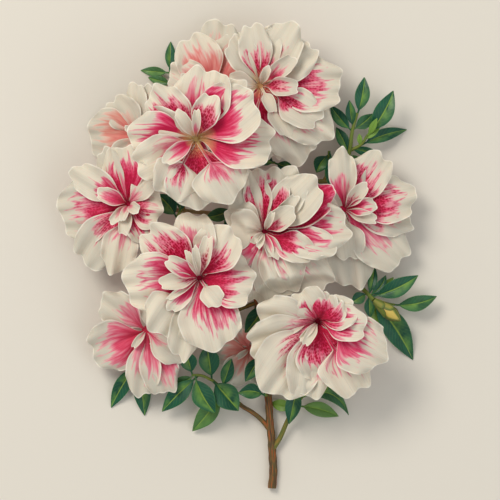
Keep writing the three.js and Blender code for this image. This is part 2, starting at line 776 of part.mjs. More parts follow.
function buildSpray(name) {
  const spray = sprays[name];
  const pieces = spray.twigs.map(({ radii, path }) => tubeGeometry(path, radii, 5, 3));
  for (const leaf of spray.leaves) {
    const rows = leaf[2] < narrowLeaf ? 3 : 4;
    pieces.push(bladeGeometry((u, v) => leafPoint(leaf, u, v), rows, 2, leafThickness));
  }
  return toMesh(name, join(pieces), leafFinish);
}

// Where a bloom or a green shoot starts, and the way that its tube or twig sets off.
function footOf(name) {
  const bloom = blooms[name];
  const path = bloom ? [bloom.foot, throatOf(bloom)] : sprays[name].twigs[0].path;
  const foot = new THREE.Vector3(...path[0]);
  return { foot, way: new THREE.Vector3(...path[1]).sub(foot).normalize() };
}

// A fork ends just short of what it carries, square to it, so that the two meet face to face.
function buildStem() {
  const pieces = [tubeGeometry(stemPath, stemRadii, 8, 12)];
  for (const [name, { radii, path }] of Object.entries(forks)) {
    const { foot, way } = footOf(name);
    const end = foot.clone().addScaledVector(way, -seatGap);
    const before = foot.clone().addScaledVector(way, -seatGap - 2);
    const whole = [...path, before.toArray(), end.toArray()];
    pieces.push(tubeGeometry(whole, radii, 5, whole.length + 1));
  }
  return toMesh("woody_stem", join(pieces), barkFinish);
}

// The bud is a closed cone of scales, round at its base and drawn to a point.
function buildBud() {
  const profile = [
    [0, 0],
    [1.9, 0.4],
    [3.1, 3],
    [3.8, 8],
    [3.5, 12],
    [1.9, 16.4],
    [0, 18.6],
  ];
  const body = new THREE.LatheGeometry(profile.map((p) => new THREE.Vector2(...p)), 12);
  const base = new THREE.Vector3(69.5, -26, 16.3);
  const tip = new THREE.Vector3(84, -37, 20);
  const turn = new THREE.Quaternion().setFromUnitVectors(
    new THREE.Vector3(0, 1, 0),
    tip.clone().sub(base).normalize(),
  );
  body.applyQuaternion(turn);
  body.translate(base.x, base.y, base.z);
  return toMesh("bud", toSolid(body), budFinish);
}

const branch = new THREE.Group();
branch.name = "azalea_branch";
branch.add(buildStem());
for (const name of Object.keys(blooms)) branch.add(buildBloom(name));
for (const name of Object.keys(sprays)) branch.add(buildSpray(name));
branch.add(buildBud());
branch.position.set(middleShift[0], middleShift[1], 0);

export default branch;
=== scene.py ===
import math
from functools import partial

import bpy
import numpy as np
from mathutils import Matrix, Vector


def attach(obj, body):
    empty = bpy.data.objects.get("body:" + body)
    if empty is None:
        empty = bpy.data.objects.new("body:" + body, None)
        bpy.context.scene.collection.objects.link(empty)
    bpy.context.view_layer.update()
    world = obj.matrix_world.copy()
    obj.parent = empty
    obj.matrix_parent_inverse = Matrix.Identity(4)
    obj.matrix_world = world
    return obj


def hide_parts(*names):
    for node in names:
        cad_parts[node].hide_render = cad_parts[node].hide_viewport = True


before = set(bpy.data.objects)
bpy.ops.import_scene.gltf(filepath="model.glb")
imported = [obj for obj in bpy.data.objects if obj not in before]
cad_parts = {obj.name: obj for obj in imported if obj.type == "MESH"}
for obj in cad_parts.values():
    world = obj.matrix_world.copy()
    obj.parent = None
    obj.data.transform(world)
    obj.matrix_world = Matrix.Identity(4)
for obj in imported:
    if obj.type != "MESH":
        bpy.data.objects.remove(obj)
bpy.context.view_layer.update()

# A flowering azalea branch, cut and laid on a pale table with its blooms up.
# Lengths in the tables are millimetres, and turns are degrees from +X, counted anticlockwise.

print("frame loaded with", len(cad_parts), "nodes")

mm = 0.001
middleShift = np.array([0.98, 0.19, 0.0])  # brings the branch over the middle, as its solids are

# What you would change about the view, the table top and the lights, the last two in metres
view = {"photoScale": 0.55, "middle": (0.6, 2.1), "focusHeight": 45.0, "distance": 4000.0, "frame": 500}
tableTop = {"colour": "#E0DBD0", "size": 6.0, "gap": 0.0001}
lights = {
    "key": {"place": (-0.9, 1.0, 1.7), "size": 1.0, "watts": 25.0, "colour": "#FFF8EE"},
    "fill": {"place": (1.3, -0.7, 1.8), "size": 1.6, "watts": 7.0, "colour": "#F4F7FF"},
    "sky": {"colour": "#F3F3F1", "strength": 0.6},
}


# sRGB hex to linear
def linearOf(hexText):
    channels = [int(hexText[k:k + 2], 16) / 255 for k in (1, 3, 5)]
    return tuple(c / 12.92 if c <= 0.04045 else ((c + 0.055) / 1.055) ** 2.4 for c in channels) + (1.0,)


# Adds one node, with its settings and its links. Its operation follows its kind after a space, and a
# link given as a node comes from that node's first output.
def addNode(tree, kind, settings={}, links={}):
    kind, _, operation = kind.partition(" ")
    node = tree.nodes.new("ShaderNode" + kind)
    if operation:
        node.operation = operation
    for name, value in settings.items():
        if isinstance(name, int) or name in node.inputs:
            node.inputs[name].default_value = value
        else:
            setattr(node, name, value)
    for name, source in links.items():
        tree.links.new(source if hasattr(source, "is_output") else source.outputs[0], node.inputs[name])
    return node


# A new material, what adds nodes to it, and a node for each attribute of the mesh that it reads
def newMaterial(name, *attributes):
    material = bpy.data.materials.new(name)
    material.use_nodes = True
    material.node_tree.nodes.clear()
    add = partial(addNode, material.node_tree)
    return material, add, *(add("Attribute", {"attribute_name": key}) for key in attributes)


def setStops(node, stops):
    ramp = node.color_ramp
    while len(ramp.elements) < len(stops):
        ramp.elements.new(0.5)
    for element, (place, hexText) in zip(ramp.elements, stops):
        element.position = place
        element.color = linearOf(hexText)


# The camera looks straight down on the blooms
def placeCamera():
    camera = bpy.data.cameras.new("camera")
    holder = bpy.data.objects.new("camera", camera)
    bpy.context.scene.collection.objects.link(holder)
    x, y = view["middle"]
    holder.location = ((x + middleShift[0]) * mm, (y + middleShift[1]) * mm, view["distance"] * mm)
    across = view["frame"] * view["photoScale"]
    camera.lens = camera.sensor_width * (view["distance"] - view["focusHeight"]) / across
    camera.clip_end = 50
    bpy.context.scene.camera = holder


def placeLights():
    scene = bpy.context.scene
    for name in ("key", "fill"):
        settings = lights[name]
        lamp = bpy.data.lights.new(name, "AREA")
        lamp.shape = "DISK"
        lamp.size = settings["size"]
        lamp.energy = settings["watts"]
        lamp.color = linearOf(settings["colour"])[:3]
        holder = bpy.data.objects.new(name, lamp)
        holder.location = settings["place"]
        holder.rotation_euler = (-Vector(settings["place"])).to_track_quat("-Z", "Y").to_euler()
        scene.collection.objects.link(holder)
    world = bpy.data.worlds.new("sky")
    world.use_nodes = True
    sky = world.node_tree.nodes["Background"]
    sky.inputs["Color"].default_value = linearOf(lights["sky"]["colour"])
    sky.inputs["Strength"].default_value = lights["sky"]["strength"]
    scene.world = world
    scene.view_settings.view_transform = "Standard"


placeCamera()
placeLights()
print("camera and lights placed")

# How each kind of petal is formed. Roll is the half angle of its trough, tilt lifts one edge over
# the next petal, and the rest are waves and folds in the finished petal.
petalForms = {
    "outer": {"arch": 3.5, "roll": 16, "tilt": -11, "ruffle": 1.2, "shoulder": 0.23, "layer": 3.4,
              "frill": 1.5, "fold": 0.75, "droop": 1.6, "rows": 40, "columns": 34},
    "middle": {"arch": 2.5, "roll": 24, "tilt": -11, "ruffle": 1.1, "shoulder": 0.22, "layer": 1.7,
               "frill": 1.4, "fold": 0.7, "droop": 1.0, "rows": 38, "columns": 32},
    "curl": {"arch": 1.5, "roll": 62, "tilt": 0, "ruffle": 0.4, "shoulder": 0.24, "layer": 0,
             "frill": 0.4, "fold": 0.2, "droop": 0.4, "rows": 24, "columns": 16},
}
# What all petals share. A petal shorter than fullReach is arched less, and one narrower than
# fullWidth is folded less. Petals that hang lower are greyed more with painted shade, for each
# millimetre up to hungLimit.
petalSheet = {
    "thickness": 0.42, "root": 1.6, "rootHalf": 0.8, "widest": 0.72, "tipNarrowing": 1.3,
    "fullReach": 34, "fullWidth": 24, "notch": 0.03, "lobes": (0.034, 0.013), "sway": 0.025,
    "ribDepth": 0.45, "hungShade": 0.12, "hungLimit": 3,
}
# How everything settles on the table, and petals under the blooms that lie over them
settling = {
    "floor": 0.36, "floorSoft": 0.9, "roofSoft": 1.2, "roofReach": 3, "roofSteepness": 0.35,
    "layerStep": 0.95, "skirt": 4.6, "pressed": 7,
}

# The blooms. at is the middle of the throat at the height of the rim, lean is the rim's slope, and
# foot is where the tube meets its stalk. A petal is [turn, reach, width, rise at its tip, the part of
# its length that the flush fills, how deep the flush is, its share of dots, how far the flush lies
# towards its anticlockwise edge], and a ninth number is the part of its length that stays narrow, as
# a claw. Above names the blooms that lie over this one. Salmon warms the flush, glow is the yellow in
# the throat, and the key after glow greys the cream as painted shade, most on blooms that lie under
# others.
blooms = {
    "bloom_high_left": {
        "at": (-29.4, 63.3, 56), "depth": 14, "lean": (0, 0.02), "foot": (-24, 57, 24), "above": [],
        "salmon": 0, "glow": 1, "greyShade": 0,
        "outer": [
            [180, 37, 31, 0, 0.9, 0.75, 0, -0.1], [209, 37, 26, 1, 0.7, 0.35, 0.1, 0],
            [281, 38, 44, -3.5, 0.8, 1, 1, 0, 0.08], [244, 36, 28, 1.5, 0.66, 0.5, 0.8, 0, 0.58],
            [302, 40, 32, 1.5, 0.78, 0.6, 0.2, 0.35, 0.56], [358, 43, 33, 1, 0.84, 0.95, 0.2, 0.15],
            [52, 41, 24, -1, 0.7, 0.5, 0, 0], [81, 39.5, 33, 0.5, 0.82, 0.6, 0, 0],
            [131, 36.5, 23, 2, 0.9, 0.85, 0.9, 0.3], [151, 30, 15, 0.8, 0.4, 0.2, 0, 0],
        ],
        "middle": [
            [38, 39.5, 36, 5.5, 0.9, 1, 0.1, 0.35],
            [68, 26, 16, 7.5, 0.9, 0.6, 0.9, 0],
        ],
        "curl": [
            [123, 18.5, 8.5, 9, 0.35, 0.3, 0, 0], [86, 16, 6, 10, 0.6, 0.5, 0, 0],
            [217, 22, 11, 8, 0.9, 0.6, 0, 0],
        ],
    },
    "bloom_low_left": {
        "at": (-27.4, -13.3, 50), "depth": 13.5, "lean": (0, 0), "foot": (-19.5, -15.5, 20),
        "above": ["bloom_high_left"], "salmon": 0, "glow": 0, "greyShade": 0,
        "outer": [
            [185, 42, 34, 1.5, 0.8, 0.85, 0.2, -0.15], [138, 40, 26, 0, 0.9, 0.9, 1, 0.1],
            [100, 36.5, 27, 0.5, 0.8, 0.6, 0.1, 0], [358, 30.5, 32, 0, 0.84, 0.95, 0.7, 0],
            [284, 41, 35, 1.5, 0.8, 0.85, 0.3, 0.45], [235, 39, 34, 1, 0.6, 0.4, 0, 0, 0.5],
            [257, 46, 20, -1.5, 0.4, 0.3, 0, 0],
        ],
        "middle": [
            [60, 32.5, 28, 4, 0.76, 1, 1, 0], [307, 19, 13, 6, 0.4, 0.9, 0.9, 0, 0.45],
            [226, 24.5, 11, 5, 0.86, 0.75, 0, -0.2],
        ],
        "curl": [
            [187, 22, 11.5, 8, 0.5, 0.7, 1, 0], [150, 20.5, 12, 9, 0.85, 0.7, 0, 0],
            [115, 17, 5, 9, 0.3, 0.3, 0, 0], [97, 18, 5.5, 10.5, 0.2, 0.2, 0, 0],
            [77, 24, 9.5, 9, 0.8, 0.25, 0.9, 0], [214, 21, 5, 7, 0.7, 1, 0, 0],
        ],
    },
    "bloom_left": {
        "at": (-66.8, 27.5, 34), "depth": 11, "lean": (0.34, 0.03), "foot": (-56.5, 25.5, 14),
        "above": ["bloom_high_left", "bloom_low_left"], "salmon": 0, "glow": 0, "greyShade": 0.1,
        "outer": [
            [188, 39.2, 37, -3.5, 0.82, 0.95, 0.6, 0], [236, 41.5, 30, -4, 0.74, 0.7, 0.8, 0.2],
            [149, 37, 18, 3.5, 0.66, 0.85, 0.2, -0.2], [114, 34, 16, -2.5, 0.6, 0.5, 0, 0],
            [97, 33, 24, 0, 0.86, 1, 0.5, -0.2], [48, 20, 13, 1, 0.5, 0.5, 0, 0],
            [352, 19.5, 26, 0, 0.8, 0.95, 0.9, 0], [259, 39.5, 21, 0, 0.66, 0.45, 0, 0, 0.4],
            [302, 23, 19, 1, 0.9, 0.95, 0.8, 0],
        ],
        "middle": [],
        "curl": [
            [157, 18.5, 11, 6, 0.9, 0.5, 0.2, 0], [229, 14.5, 7, 7, 0.7, 0.3, 0, 0],
            [250, 10, 5.5, 8, 0.7, 0.3, 0, 0], [262, 17.5, 9, 5, 0.6, 0.5, 0.4, 0],
            [325, 7.5, 8, 8, 0.6, 0.35, 0, 0],
        ],
    },
    "bloom_right": {
        "at": (8.5, 12.3, 42), "depth": 13, "lean": (-0.06, 0), "foot": (6, 10, 15),
        "above": ["bloom_high_left", "bloom_low_left", "bloom_low_right"],
        "salmon": 0, "glow": 0, "greyShade": 0.1,
        "outer": [
            [109, 35, 22, -1, 0.5, 0.4, 0.5, -0.4], [87, 36, 26, 1, 0.88, 1, 1, 0],
            [62, 39.5, 24, 2, 0.6, 0.9, 0.8, 0], [32, 45, 22, 1, 1.3, 1, 0.5, 0],
            [3, 47.5, 31, 1, 0.88, 1, 0.3, 0.1], [318, 47, 27, -1.5, 0.76, 0.5, 0.2, 0],
            [297, 37, 26, 2, 0.6, 0.4, 0, 0], [281, 40.5, 24, 0, 0.6, 0.4, 0, 0],
            [262, 40, 22, -1.5, 0.8, 0.4, 0, 0], [173, 20, 23, 1, 0.3, 0.2, 0, 0],
            [222, 23.5, 26, -1, 1, 0.45, 0, 0], [146, 25, 18, 0, 0.2, 0.2, 0, 0],
        ],
        "middle": [
            [46, 41, 27, 5, 0.2, 0.3, 0, 0], [346, 41, 19, 4.5, 0.84, 1, 0.3, 0.2, 0.42],
            [333, 29.5, 18, 6, 0.86, 1, 0.8, 0.1, 0.3],
        ],
        "curl": [
            [38, 20.5, 15, 9, 0.64, 0.65, 0.8, -0.3], [47, 27, 9, 7, 0.5, 0.3, 0.1, 0.5, 0.3],
            [300, 17, 9, 5, 0.8, 0.6, 0, 0], [286, 15, 6, 5, 0.8, 0.4, 0, 0],
            [66, 12, 5, 10, 0.3, 0.4, 0, 0], [222, 9.5, 5, 9, 0.1, 0.2, 0, 0],
            [250, 10, 4.5, 9, 0.1, 0.2, 0, 0],
        ],
    },
    "bloom_top": {
        "at": (6.3, 93, 34), "depth": 11, "lean": (-0.14, 0), "foot": (2.5, 86, 13),
        "above": ["bloom_high_left", "bloom_right"], "salmon": 0, "glow": 0.7, "greyShade": 0.15,
        "outer": [
            [120, 31, 18, -2, 0.3, 0.2, 0, 0], [98, 34.5, 19, 1, 0.66, 1, 1, 0],
            [79, 33, 16, 0, 0.6, 0.9, 0.9, 0], [62, 39.5, 24, 1.5, 0.6, 0.9, 1, -0.1],
            [36, 37, 22, 0, 0.3, 0.2, 0, 0], [2, 45.5, 33, 0, 0.86, 0.9, 0.8, 0],
            [324, 49, 28, 0, 0.8, 0.5, 0, 0], [301, 49, 28, -1, 0.7, 0.45, 0, 0],
            [281, 42, 18, 1, 0.8, 0.5, 0, 0], [258, 30, 22, -1, 0.9, 0.6, 0.3, 0],
            [190, 20, 20, 0, 0.3, 0.2, 0, 0], [320, 25, 34, -3, 1.3, 0.9, 1, 0],
        ],
        "middle": [
            [330, 38.5, 22, 4.5, 0.74, 1, 1, 0.1, 0.45], [303, 34.5, 14, 4.5, 0.62, 0.4, 0, 0, 0.5],
        ],
        "curl": [
            [66, 11.5, 6, 9, 0.1, 0.2, 0, 0], [38, 24.5, 12, 8, 0.8, 0.5, 0.3, -0.3, 0.3],
            [356, 21, 13, 8, 0.8, 0.7, 1, 0, 0.25], [297, 17, 8.5, 6, 0.1, 0.2, 0, 0, 0.45],
        ],
    },
    "bloom_far_right": {
        "at": (52.7, 24.5, 25), "depth": 9.5, "lean": (-0.22, 0), "foot": (45, 21, 8.5),
        "above": ["bloom_right"], "salmon": 0, "glow": 0, "greyShade": 0.25,
        "outer": [
            [93, 34, 16, 2.5, 0.66, 0.6, 0, 0.4], [70, 27, 12, -1, 0.95, 0.6, 0, 0],
            [55, 38, 24, 0, 0.8, 1, 1, 0], [13, 41, 27, 0.5, 0.82, 1, 0.9, 0],
            [348, 39, 20, -2, 0.8, 0.6, 0.7, 0], [318, 44, 30, -2, 0.76, 0.45, 0, 0],
            [279, 44, 29, -2, 0.6, 0.35, 0, 0], [182, 17, 17, 0, 0.3, 0.2, 0, 0],
            [232, 22, 19, 0, 0.3, 0.2, 0, 0],
        ],
        "middle": [
            [277, 28, 20, 4, 0.2, 0.2, 0, 0, 0.3],
        ],
        "curl": [
            [50, 19, 10, 8, 0.6, 0.4, 0.7, 0], [8, 18, 12, 7, 0.86, 1, 0.4, 0],
            [341, 19, 9, 6, 0.4, 0.6, 0.3, 0],
        ],
    },
    "bloom_low_right": {
        "at": (38, -37.3, 42), "depth": 18, "lean": (-0.04, 0.12), "foot": (30, -35.5, 14),
        "above": [], "salmon": 0, "glow": 0, "greyShade": 0,
        "outer": [
            [172, 34, 24, 1, 0.5, 0.4, 0.3, 0], [203, 41, 27, 0, 0.56, 0.4, 0.3, 0],
            [235, 48.5, 38, 1.5, 0.72, 0.5, 0.9, 0.35], [261, 43, 28, 0.5, 0.74, 0.7, 1, 0.3],
            [288, 34, 38, -2, 0.84, 0.95, 1, 0], [300, 46, 29, 0, 0.8, 0.6, 0, 0.3, 0.56],
            [331, 42.5, 33, 2.5, 0.82, 0.8, 0.1, 0, 0.46], [126, 20, 24, 1, 0.5, 0.8, 0.3, -0.3],
            [92, 16.5, 24, 2, 0.82, 1, 0.8, 0], [54, 17, 22, 3, 0.88, 1, 0.9, 0],
            [24, 22, 20, 3.5, 0.74, 1, 0.8, 0],
        ],
        "middle": [
            [357, 27, 21, 5, 0.86, 1, 0.5, -0.1],
        ],
        "curl": [
            [240, 15, 7, 5, 0.1, 0.3, 0, 0], [226, 14.5, 4.5, 4.5, 0.1, 0.3, 0, 0],
        ],
    },
    "bloom_behind_top": {
        "at": (-19, 89, 20), "depth": 8, "lean": (0.06, -0.16), "foot": (-16, 80, 8),
        "above": ["bloom_top", "bloom_high_left"], "salmon": 0.75, "glow": 0, "greyShade": 0.2,
        "outer": [
            [152, 28.5, 22, 0, 0.9, 0.6, 0, 0], [115, 35, 27, 1.5, 0.92, 0.8, 0, 0.1],
            [88, 41, 27, -2, 0.8, 0.7, 0, 0], [68, 36.5, 22, 1, 0.86, 0.7, 0, 0],
            [200, 15, 17, 0, 0.5, 0.5, 0, 0], [320, 14, 16, 0, 0.5, 0.5, 0, 0],
        ],
        "middle": [],
        "curl": [[153, 21, 9, 5, 0.6, 0.4, 0, 0]],
    },
    "bloom_behind_left": {
        "at": (-60.2, 65.5, 14.5), "depth": 6.5, "lean": (0.36, -0.04), "foot": (-50, 61, 4.6),
        "above": ["bloom_left", "bloom_high_left"], "salmon": 1, "glow": 0, "greyShade": 0.45,
        "outer": [
            [178, 29.5, 31, -2, 0.9, 0.75, 0, -0.1], [128, 26, 20, 1.5, 0.7, 0.4, 0, 0.3],
            [97, 30, 13, 2.5, 0.3, 0.2, 0, 0], [82, 29, 12, 0.5, 0.9, 0.3, 0, 0],
            [236, 22, 20, 1, 0.6, 0.5, 0, 0], [330, 12, 14, 0, 0.5, 0.4, 0, 0],
        ],
        "middle": [],
        "curl": [[150, 10, 5, 4, 0.6, 0.5, 0, 0]],
    },
    "bloom_behind_low": {
        "at": (-57, -42.4, 20), "depth": 8, "lean": (0.14, 0.16), "foot": (-47, -38, 8),
        "above": ["bloom_low_left", "bloom_left"], "salmon": 0.1, "glow": 0, "greyShade": 0.45,
        "outer": [
            [143, 31, 21, 1.5, 0.7, 0.45, 0, -0.3], [205, 33.5, 30, -1, 0.86, 0.65, 0, 0.2],
            [266, 37, 20, 1.5, 0.85, 0.45, 0, 0.3], [289, 37.5, 22, -1, 0.9, 0.55, 0, 0.4],
            [322, 26, 18, 1, 0.5, 0.6, 0, 0], [60, 13, 16, 0, 0.4, 0.5, 0, 0],
        ],
        "middle": [],
        "curl": [
            [232, 12, 5, 4, 0.5, 0.5, 0, 0],
        ],
    },
    "bloom_small": {
        "at": (0.3, -52.8, 14), "depth": 5, "lean": (0.05, 0.1), "foot": (2.2, -51.6, 7.6),
        "above": ["bloom_low_left", "bloom_low_right"], "salmon": 0.9, "glow": 0, "greyShade": 0.8,
        "outer": [
            [190, 19, 17, 0, 0.9, 0.6, 0, 0], [244, 22, 19, 1.2, 0.8, 0.5, 0, 0],
            [290, 20, 14, 0, 0.8, 0.5, 0, 0], [120, 14, 14, 1.2, 0.9, 0.7, 0, 0],
            [32, 13, 13, 0, 0.6, 0.5, 0, 0],
        ],
        "middle": [],
        "curl": [[215, 9, 4, 2, 0.5, 0.5, 0, 0]],
    },
}

# The green shoots. The first twig of a shoot starts where the stem carries it. A leaf is [where its
# stalk leaves the twig, where its tip is, width, sideways sweep, how pale it is, the side that takes
# a painted highlight].
sprays = {
    "leaves_top_left": {
        "twigs": [[(1, 0.7), [(-38, 84, 5.5), (-41.5, 92, 5.5), (-44, 101, 6)]]],
        "leaves": [
            [(-44, 101, 6), (-43.5, 118, -3), 5.5, 0, 0, 1],
            [(-44, 100.5, 6), (-60.2, 102, -3), 5.2, 0, 0.2, 1],
            [(-42.5, 94, 5.5), (-56, 98, 1), 5.2, 0, 0.2, 1],
        ],
    },
    "leaves_top_right": {
        "twigs": [
            [(1.3, 0.9), [(52, 44.5, 9.5), (55.8, 57, 12), (57.5, 69, 14), (60, 78, 16)]],
            [(1, 0.7), [(55.6, 57, 11.5), (62, 60.5, 11.5), (66, 66, 13)]],
        ],
        "leaves": [
            [(60, 77, 15.8), (63.9, 97.8, 17), 8, -0.8, 0, -1],
            [(57.8, 70, 14.2), (55.6, 85, 17), 5.4, 0.3, 0, -1],
            [(57.2, 68, 13.8), (45, 82.4, 13), 6.8, 0.6, 0, 1],
            [(66, 66, 13), (80, 90.3, 16), 10.6, -1.4, 0, -1],
            [(57.8, 69, 14), (68.6, 77.6, 11), 7, -0.8, 0.1, -1],
            [(62, 60, 11.5), (87.8, 69, -1), 7, 1.3, 0, -1],
            [(66, 65.5, 13), (71, 75, 19), 3.4, 0, 0.9, 1], [(64, 63, 12), (72.9, 71, 13), 3.6, 0, 0.9, 1],
            [(55.4, 56, 11.8), (48.4, 70.2, 9), 6.4, -0.3, 0, 1],
            [(56, 58.5, 12), (72.8, 55.1, 5), 5, 0, 0, 1],
            [(54.8, 55, 11.4), (61.9, 48.2, 7), 6, 0, 0.2, -1],
            [(61.6, 60, 11.4), (61.2, 66.6, 13), 2.6, 0, 0.9, 1],
        ],
    },
    "leaves_below_top": {
        "twigs": [[(1, 0.8), [(43.2, 45, 10), (44, 50, 11), (44.5, 57, 12)]]],
        "leaves": [
            [(44.5, 57, 12), (47.3, 33.6, 15), 9.5, 1, 0, 1],
            [(44.3, 55, 11.5), (37.4, 45, 14), 8, -1, 0, 1],
        ],
    },
    "leaves_centre_top": {
        "twigs": [[(1, 0.7), [(-2.4, 50.2, 12), (5, 51, 13.6), (14.5, 50.5, 15)]]],
        "leaves": [
            [(14.5, 50.5, 15), (4.5, 53.5, 19), 6.4, 0, 0, 1],
            [(14.5, 50.2, 15), (25, 46.5, 17), 6, 0, 0, 1],
        ],
    },
    "leaves_centre": {
        "twigs": [[(1, 0.8), [(-6.6, 26.6, 13.6), (-7.6, 25.8, 16), (-9, 25, 18.5)]]],
        "leaves": [
            [(-9, 25, 18.5), (-24, 20.2, 23), 7.4, 1, 0.1, 1],
            [(-8.8, 25.2, 18), (-12.7, 11.5, 21), 7.4, 1, 0, 1],
        ],
    },
    "leaves_centre_left": {
        "twigs": [[(1, 0.8), [(-37.6, 24.6, 15.4), (-38.6, 22.6, 17), (-40, 20, 18.5)]]],
        "leaves": [
            [(-40, 20, 18.5), (-51, 33, 21), 10.5, -1, 0, 1],
            [(-38.6, 22.6, 17), (-35, 37.5, 20), 7, 0, 0, 1],
        ],
    },
    "leaves_right": {
        "twigs": [
            [(1.3, 1.1), [(43, -12, 9), (56, -15, 10.5), (64, -20.3, 12), (69, -25.6, 15.6)]],
            [(0.7, 0.6), [(66.8, -23.6, 12.6), (74, -26.8, 11), (81, -28.3, 9.8)]],
        ],
        "leaves": [
            [(66.5, -23, 13.4), (69.7, -7, 11), 5, -0.4, 0, 1],
            [(66.8, -23.2, 13.6), (75.9, -12, 13), 5.6, -1.6, 0, 1],
            [(66.8, -23.2, 13.2), (80.3, -13.1, 8.5), 5.4, -1, 0.9, 1],
            [(67.4, -23.8, 14), (93.8, -12, 14), 9.8, -1.6, 0, -1],
            [(80, -28.2, 9.8), (104.2, -23.6, 8), 8.4, -1.9, 0.1, -1],
            [(66.6, -23.4, 12), (91.2, -59, -2), 13.8, 2, 0, 1],
            [(66.4, -22.8, 12.8), (67.2, -35.6, 12), 5.6, 0, 0, 1],
            [(65.6, -21.8, 12.4), (56.8, -27, 14), 6.6, 0, 0, 1],
            [(67, -23.6, 12.2), (73.6, -41, 6), 6.4, 0, 0.9, 1],
        ],
    },
    "leaves_low_right": {
        "twigs": [
            [(1.2, 0.9), [(22.6, -90.4, 6.4), (26, -84, 7.6), (29.5, -79.4, 9)]],
            [(0.8, 0.7), [(26, -84, 7.6), (28.2, -78, 9), (27.2, -72, 10.5)]],
        ],
        "leaves": [
            [(29.5, -79.8, 9), (55.4, -89.6, 5), 7.4, 7.5, 0.1, 1],
            [(27.4, -84.6, 8.2), (49.8, -90.3, 2), 8, 1.3, 0.5, 1],
            [(29.5, -79.4, 9), (45.5, -69.5, 14), 8, -0.8, 0.8, 1],
            [(27.2, -72, 10.5), (22.3, -94.4, 9), 8.6, 0, 0, 1],
            [(25, -85.5, 6.6), (12, -83, 2.2), 6.4, 0, 0.9, 1],
        ],
    },
    "leaves_low_left": {
        "twigs": [
            [(1.2, 0.9), [(-5.2, -83.4, 7.2), (-10, -79.4, 8.5), (-15, -75, 9.5), (-20.4, -70, 10.5)]],
            [(0.9, 0.7), [(-20, -70.4, 10.4), (-26, -67.6, 12), (-31.5, -67.2, 13)]],
        ],
        "leaves": [
            [(-28, -67.6, 12), (-48.2, -87.6, 7), 10, -0.6, 0, -1],
            [(-30, -67.2, 13), (-18.7, -88.2, 16), 12, -1.6, 0, -1],
            [(-20.4, -70, 10.5), (-5.7, -87, 14), 13.6, 0.2, 0, 1],
            [(-14, -77, 8.8), (-31.4, -98.6, 2), 10.2, 0.5, 0.3, 1],
            [(-14.8, -74.4, 9.6), (-9.5, -58.1, 19.5), 7, 0, 0, 1],
            [(-20.4, -70, 10.5), (-23.4, -50, 17), 11.4, 0, 0, 1],
            [(-31.4, -67, 13), (-35, -53.6, 16), 9, 0, 0, 1],
            [(-30.6, -67, 11), (-44, -76.4, 6), 8, 0.5, 0.2, 1],
        ],
    },
    "leaves_far_left": {
        "twigs": [[(0.9, 0.7), [(-48, -47, 6), (-55, -54.5, 5.5), (-61.5, -60.5, 5.5)]]],
        "leaves": [
            [(-61.5, -60.5, 5.5), (-76.6, -85.6, -1), 8.6, -1, 0, -1],
            [(-61, -60, 5.5), (-58, -90, -1), 9.6, 0, 0, 1],
        ],
    },
    "leaves_low_centre": {
        "twigs": [[(0.9, 0.8), [(9.6, -78.4, 8.4), (9.4, -78.4, 11.5), (8.6, -78, 15)]]],
        "leaves": [
            [(9, -78.6, 15), (-5.9, -77.1, 17), 8.4, -1.8, 0, 1],
            [(8.8, -78, 14.4), (7.2, -68, 18.5), 6.4, 0, 0, 1],
        ],
    },
    "leaves_under_low_right": {
        "twigs": [[(0.9, 0.8), [(9.8, -56.2, 10.2), (9.6, -55.8, 14), (7, -55.6, 19.5)]]],
        "leaves": [[(7, -55.6, 19.5), (-2, -70.6, 20.5), 7.8, 0, 0, 1]],
    },
    "leaves_between": {
        "twigs": [[(0.9, 0.8), [(7.4, -26, 13), (8.4, -26, 15.5), (9.2, -26.4, 18)]]],
        "leaves": [
            [(9.2, -26.4, 18), (-2.2, -43.6, 26), 10, 1, 0, 1],
            [(9.2, -26.4, 17.8), (2.8, -45.8, 23), 8.4, 0.5, 0, 1],
        ],
    },
}

# The woody stem, with its radius at each point, and its forks, each named for what it carries. The
# stem has low swellings, as [height, waves round it, pace along it]. The last two points of a fork lie
# forkEnd short of what it carries, in line with it. Greenness runs from 0, brown, to 1, and greenForks
# are the exceptions.
stem = {
    "path": [
        (12.9, -130.4, 2.3), (13.5, -118, 2.5), (12.4, -102, 3.6), (10.7, -80, 5.6), (8.5, -58, 7.6),
        (5.8, -36, 9), (2.5, -14, 9.6), (-2, 8, 9.8), (-5.5, 30, 10), (-8, 49, 10), (-10, 64, 10),
    ],
    "radii": (2.3, 2.25, 2.15, 1.95, 1.85, 1.75, 1.65, 1.55, 1.45, 1.35, 1.2),
    "around": 24, "steps": 220, "swellings": [(0.12, 3, 0.31), (0.1, 2, 0.9)], "seed": 0.3,
    "forkEnd": (2.45, 0.1), "forkAround": 14, "forkSteps": 40, "forkGreen": 0.3, "stalkGreen": 0.5,
    "stalkPink": 0.35,
    "greenForks": {"leaves_low_left": 0.05, "leaves_low_right": 0.45, "leaves_right": 0.85},
}
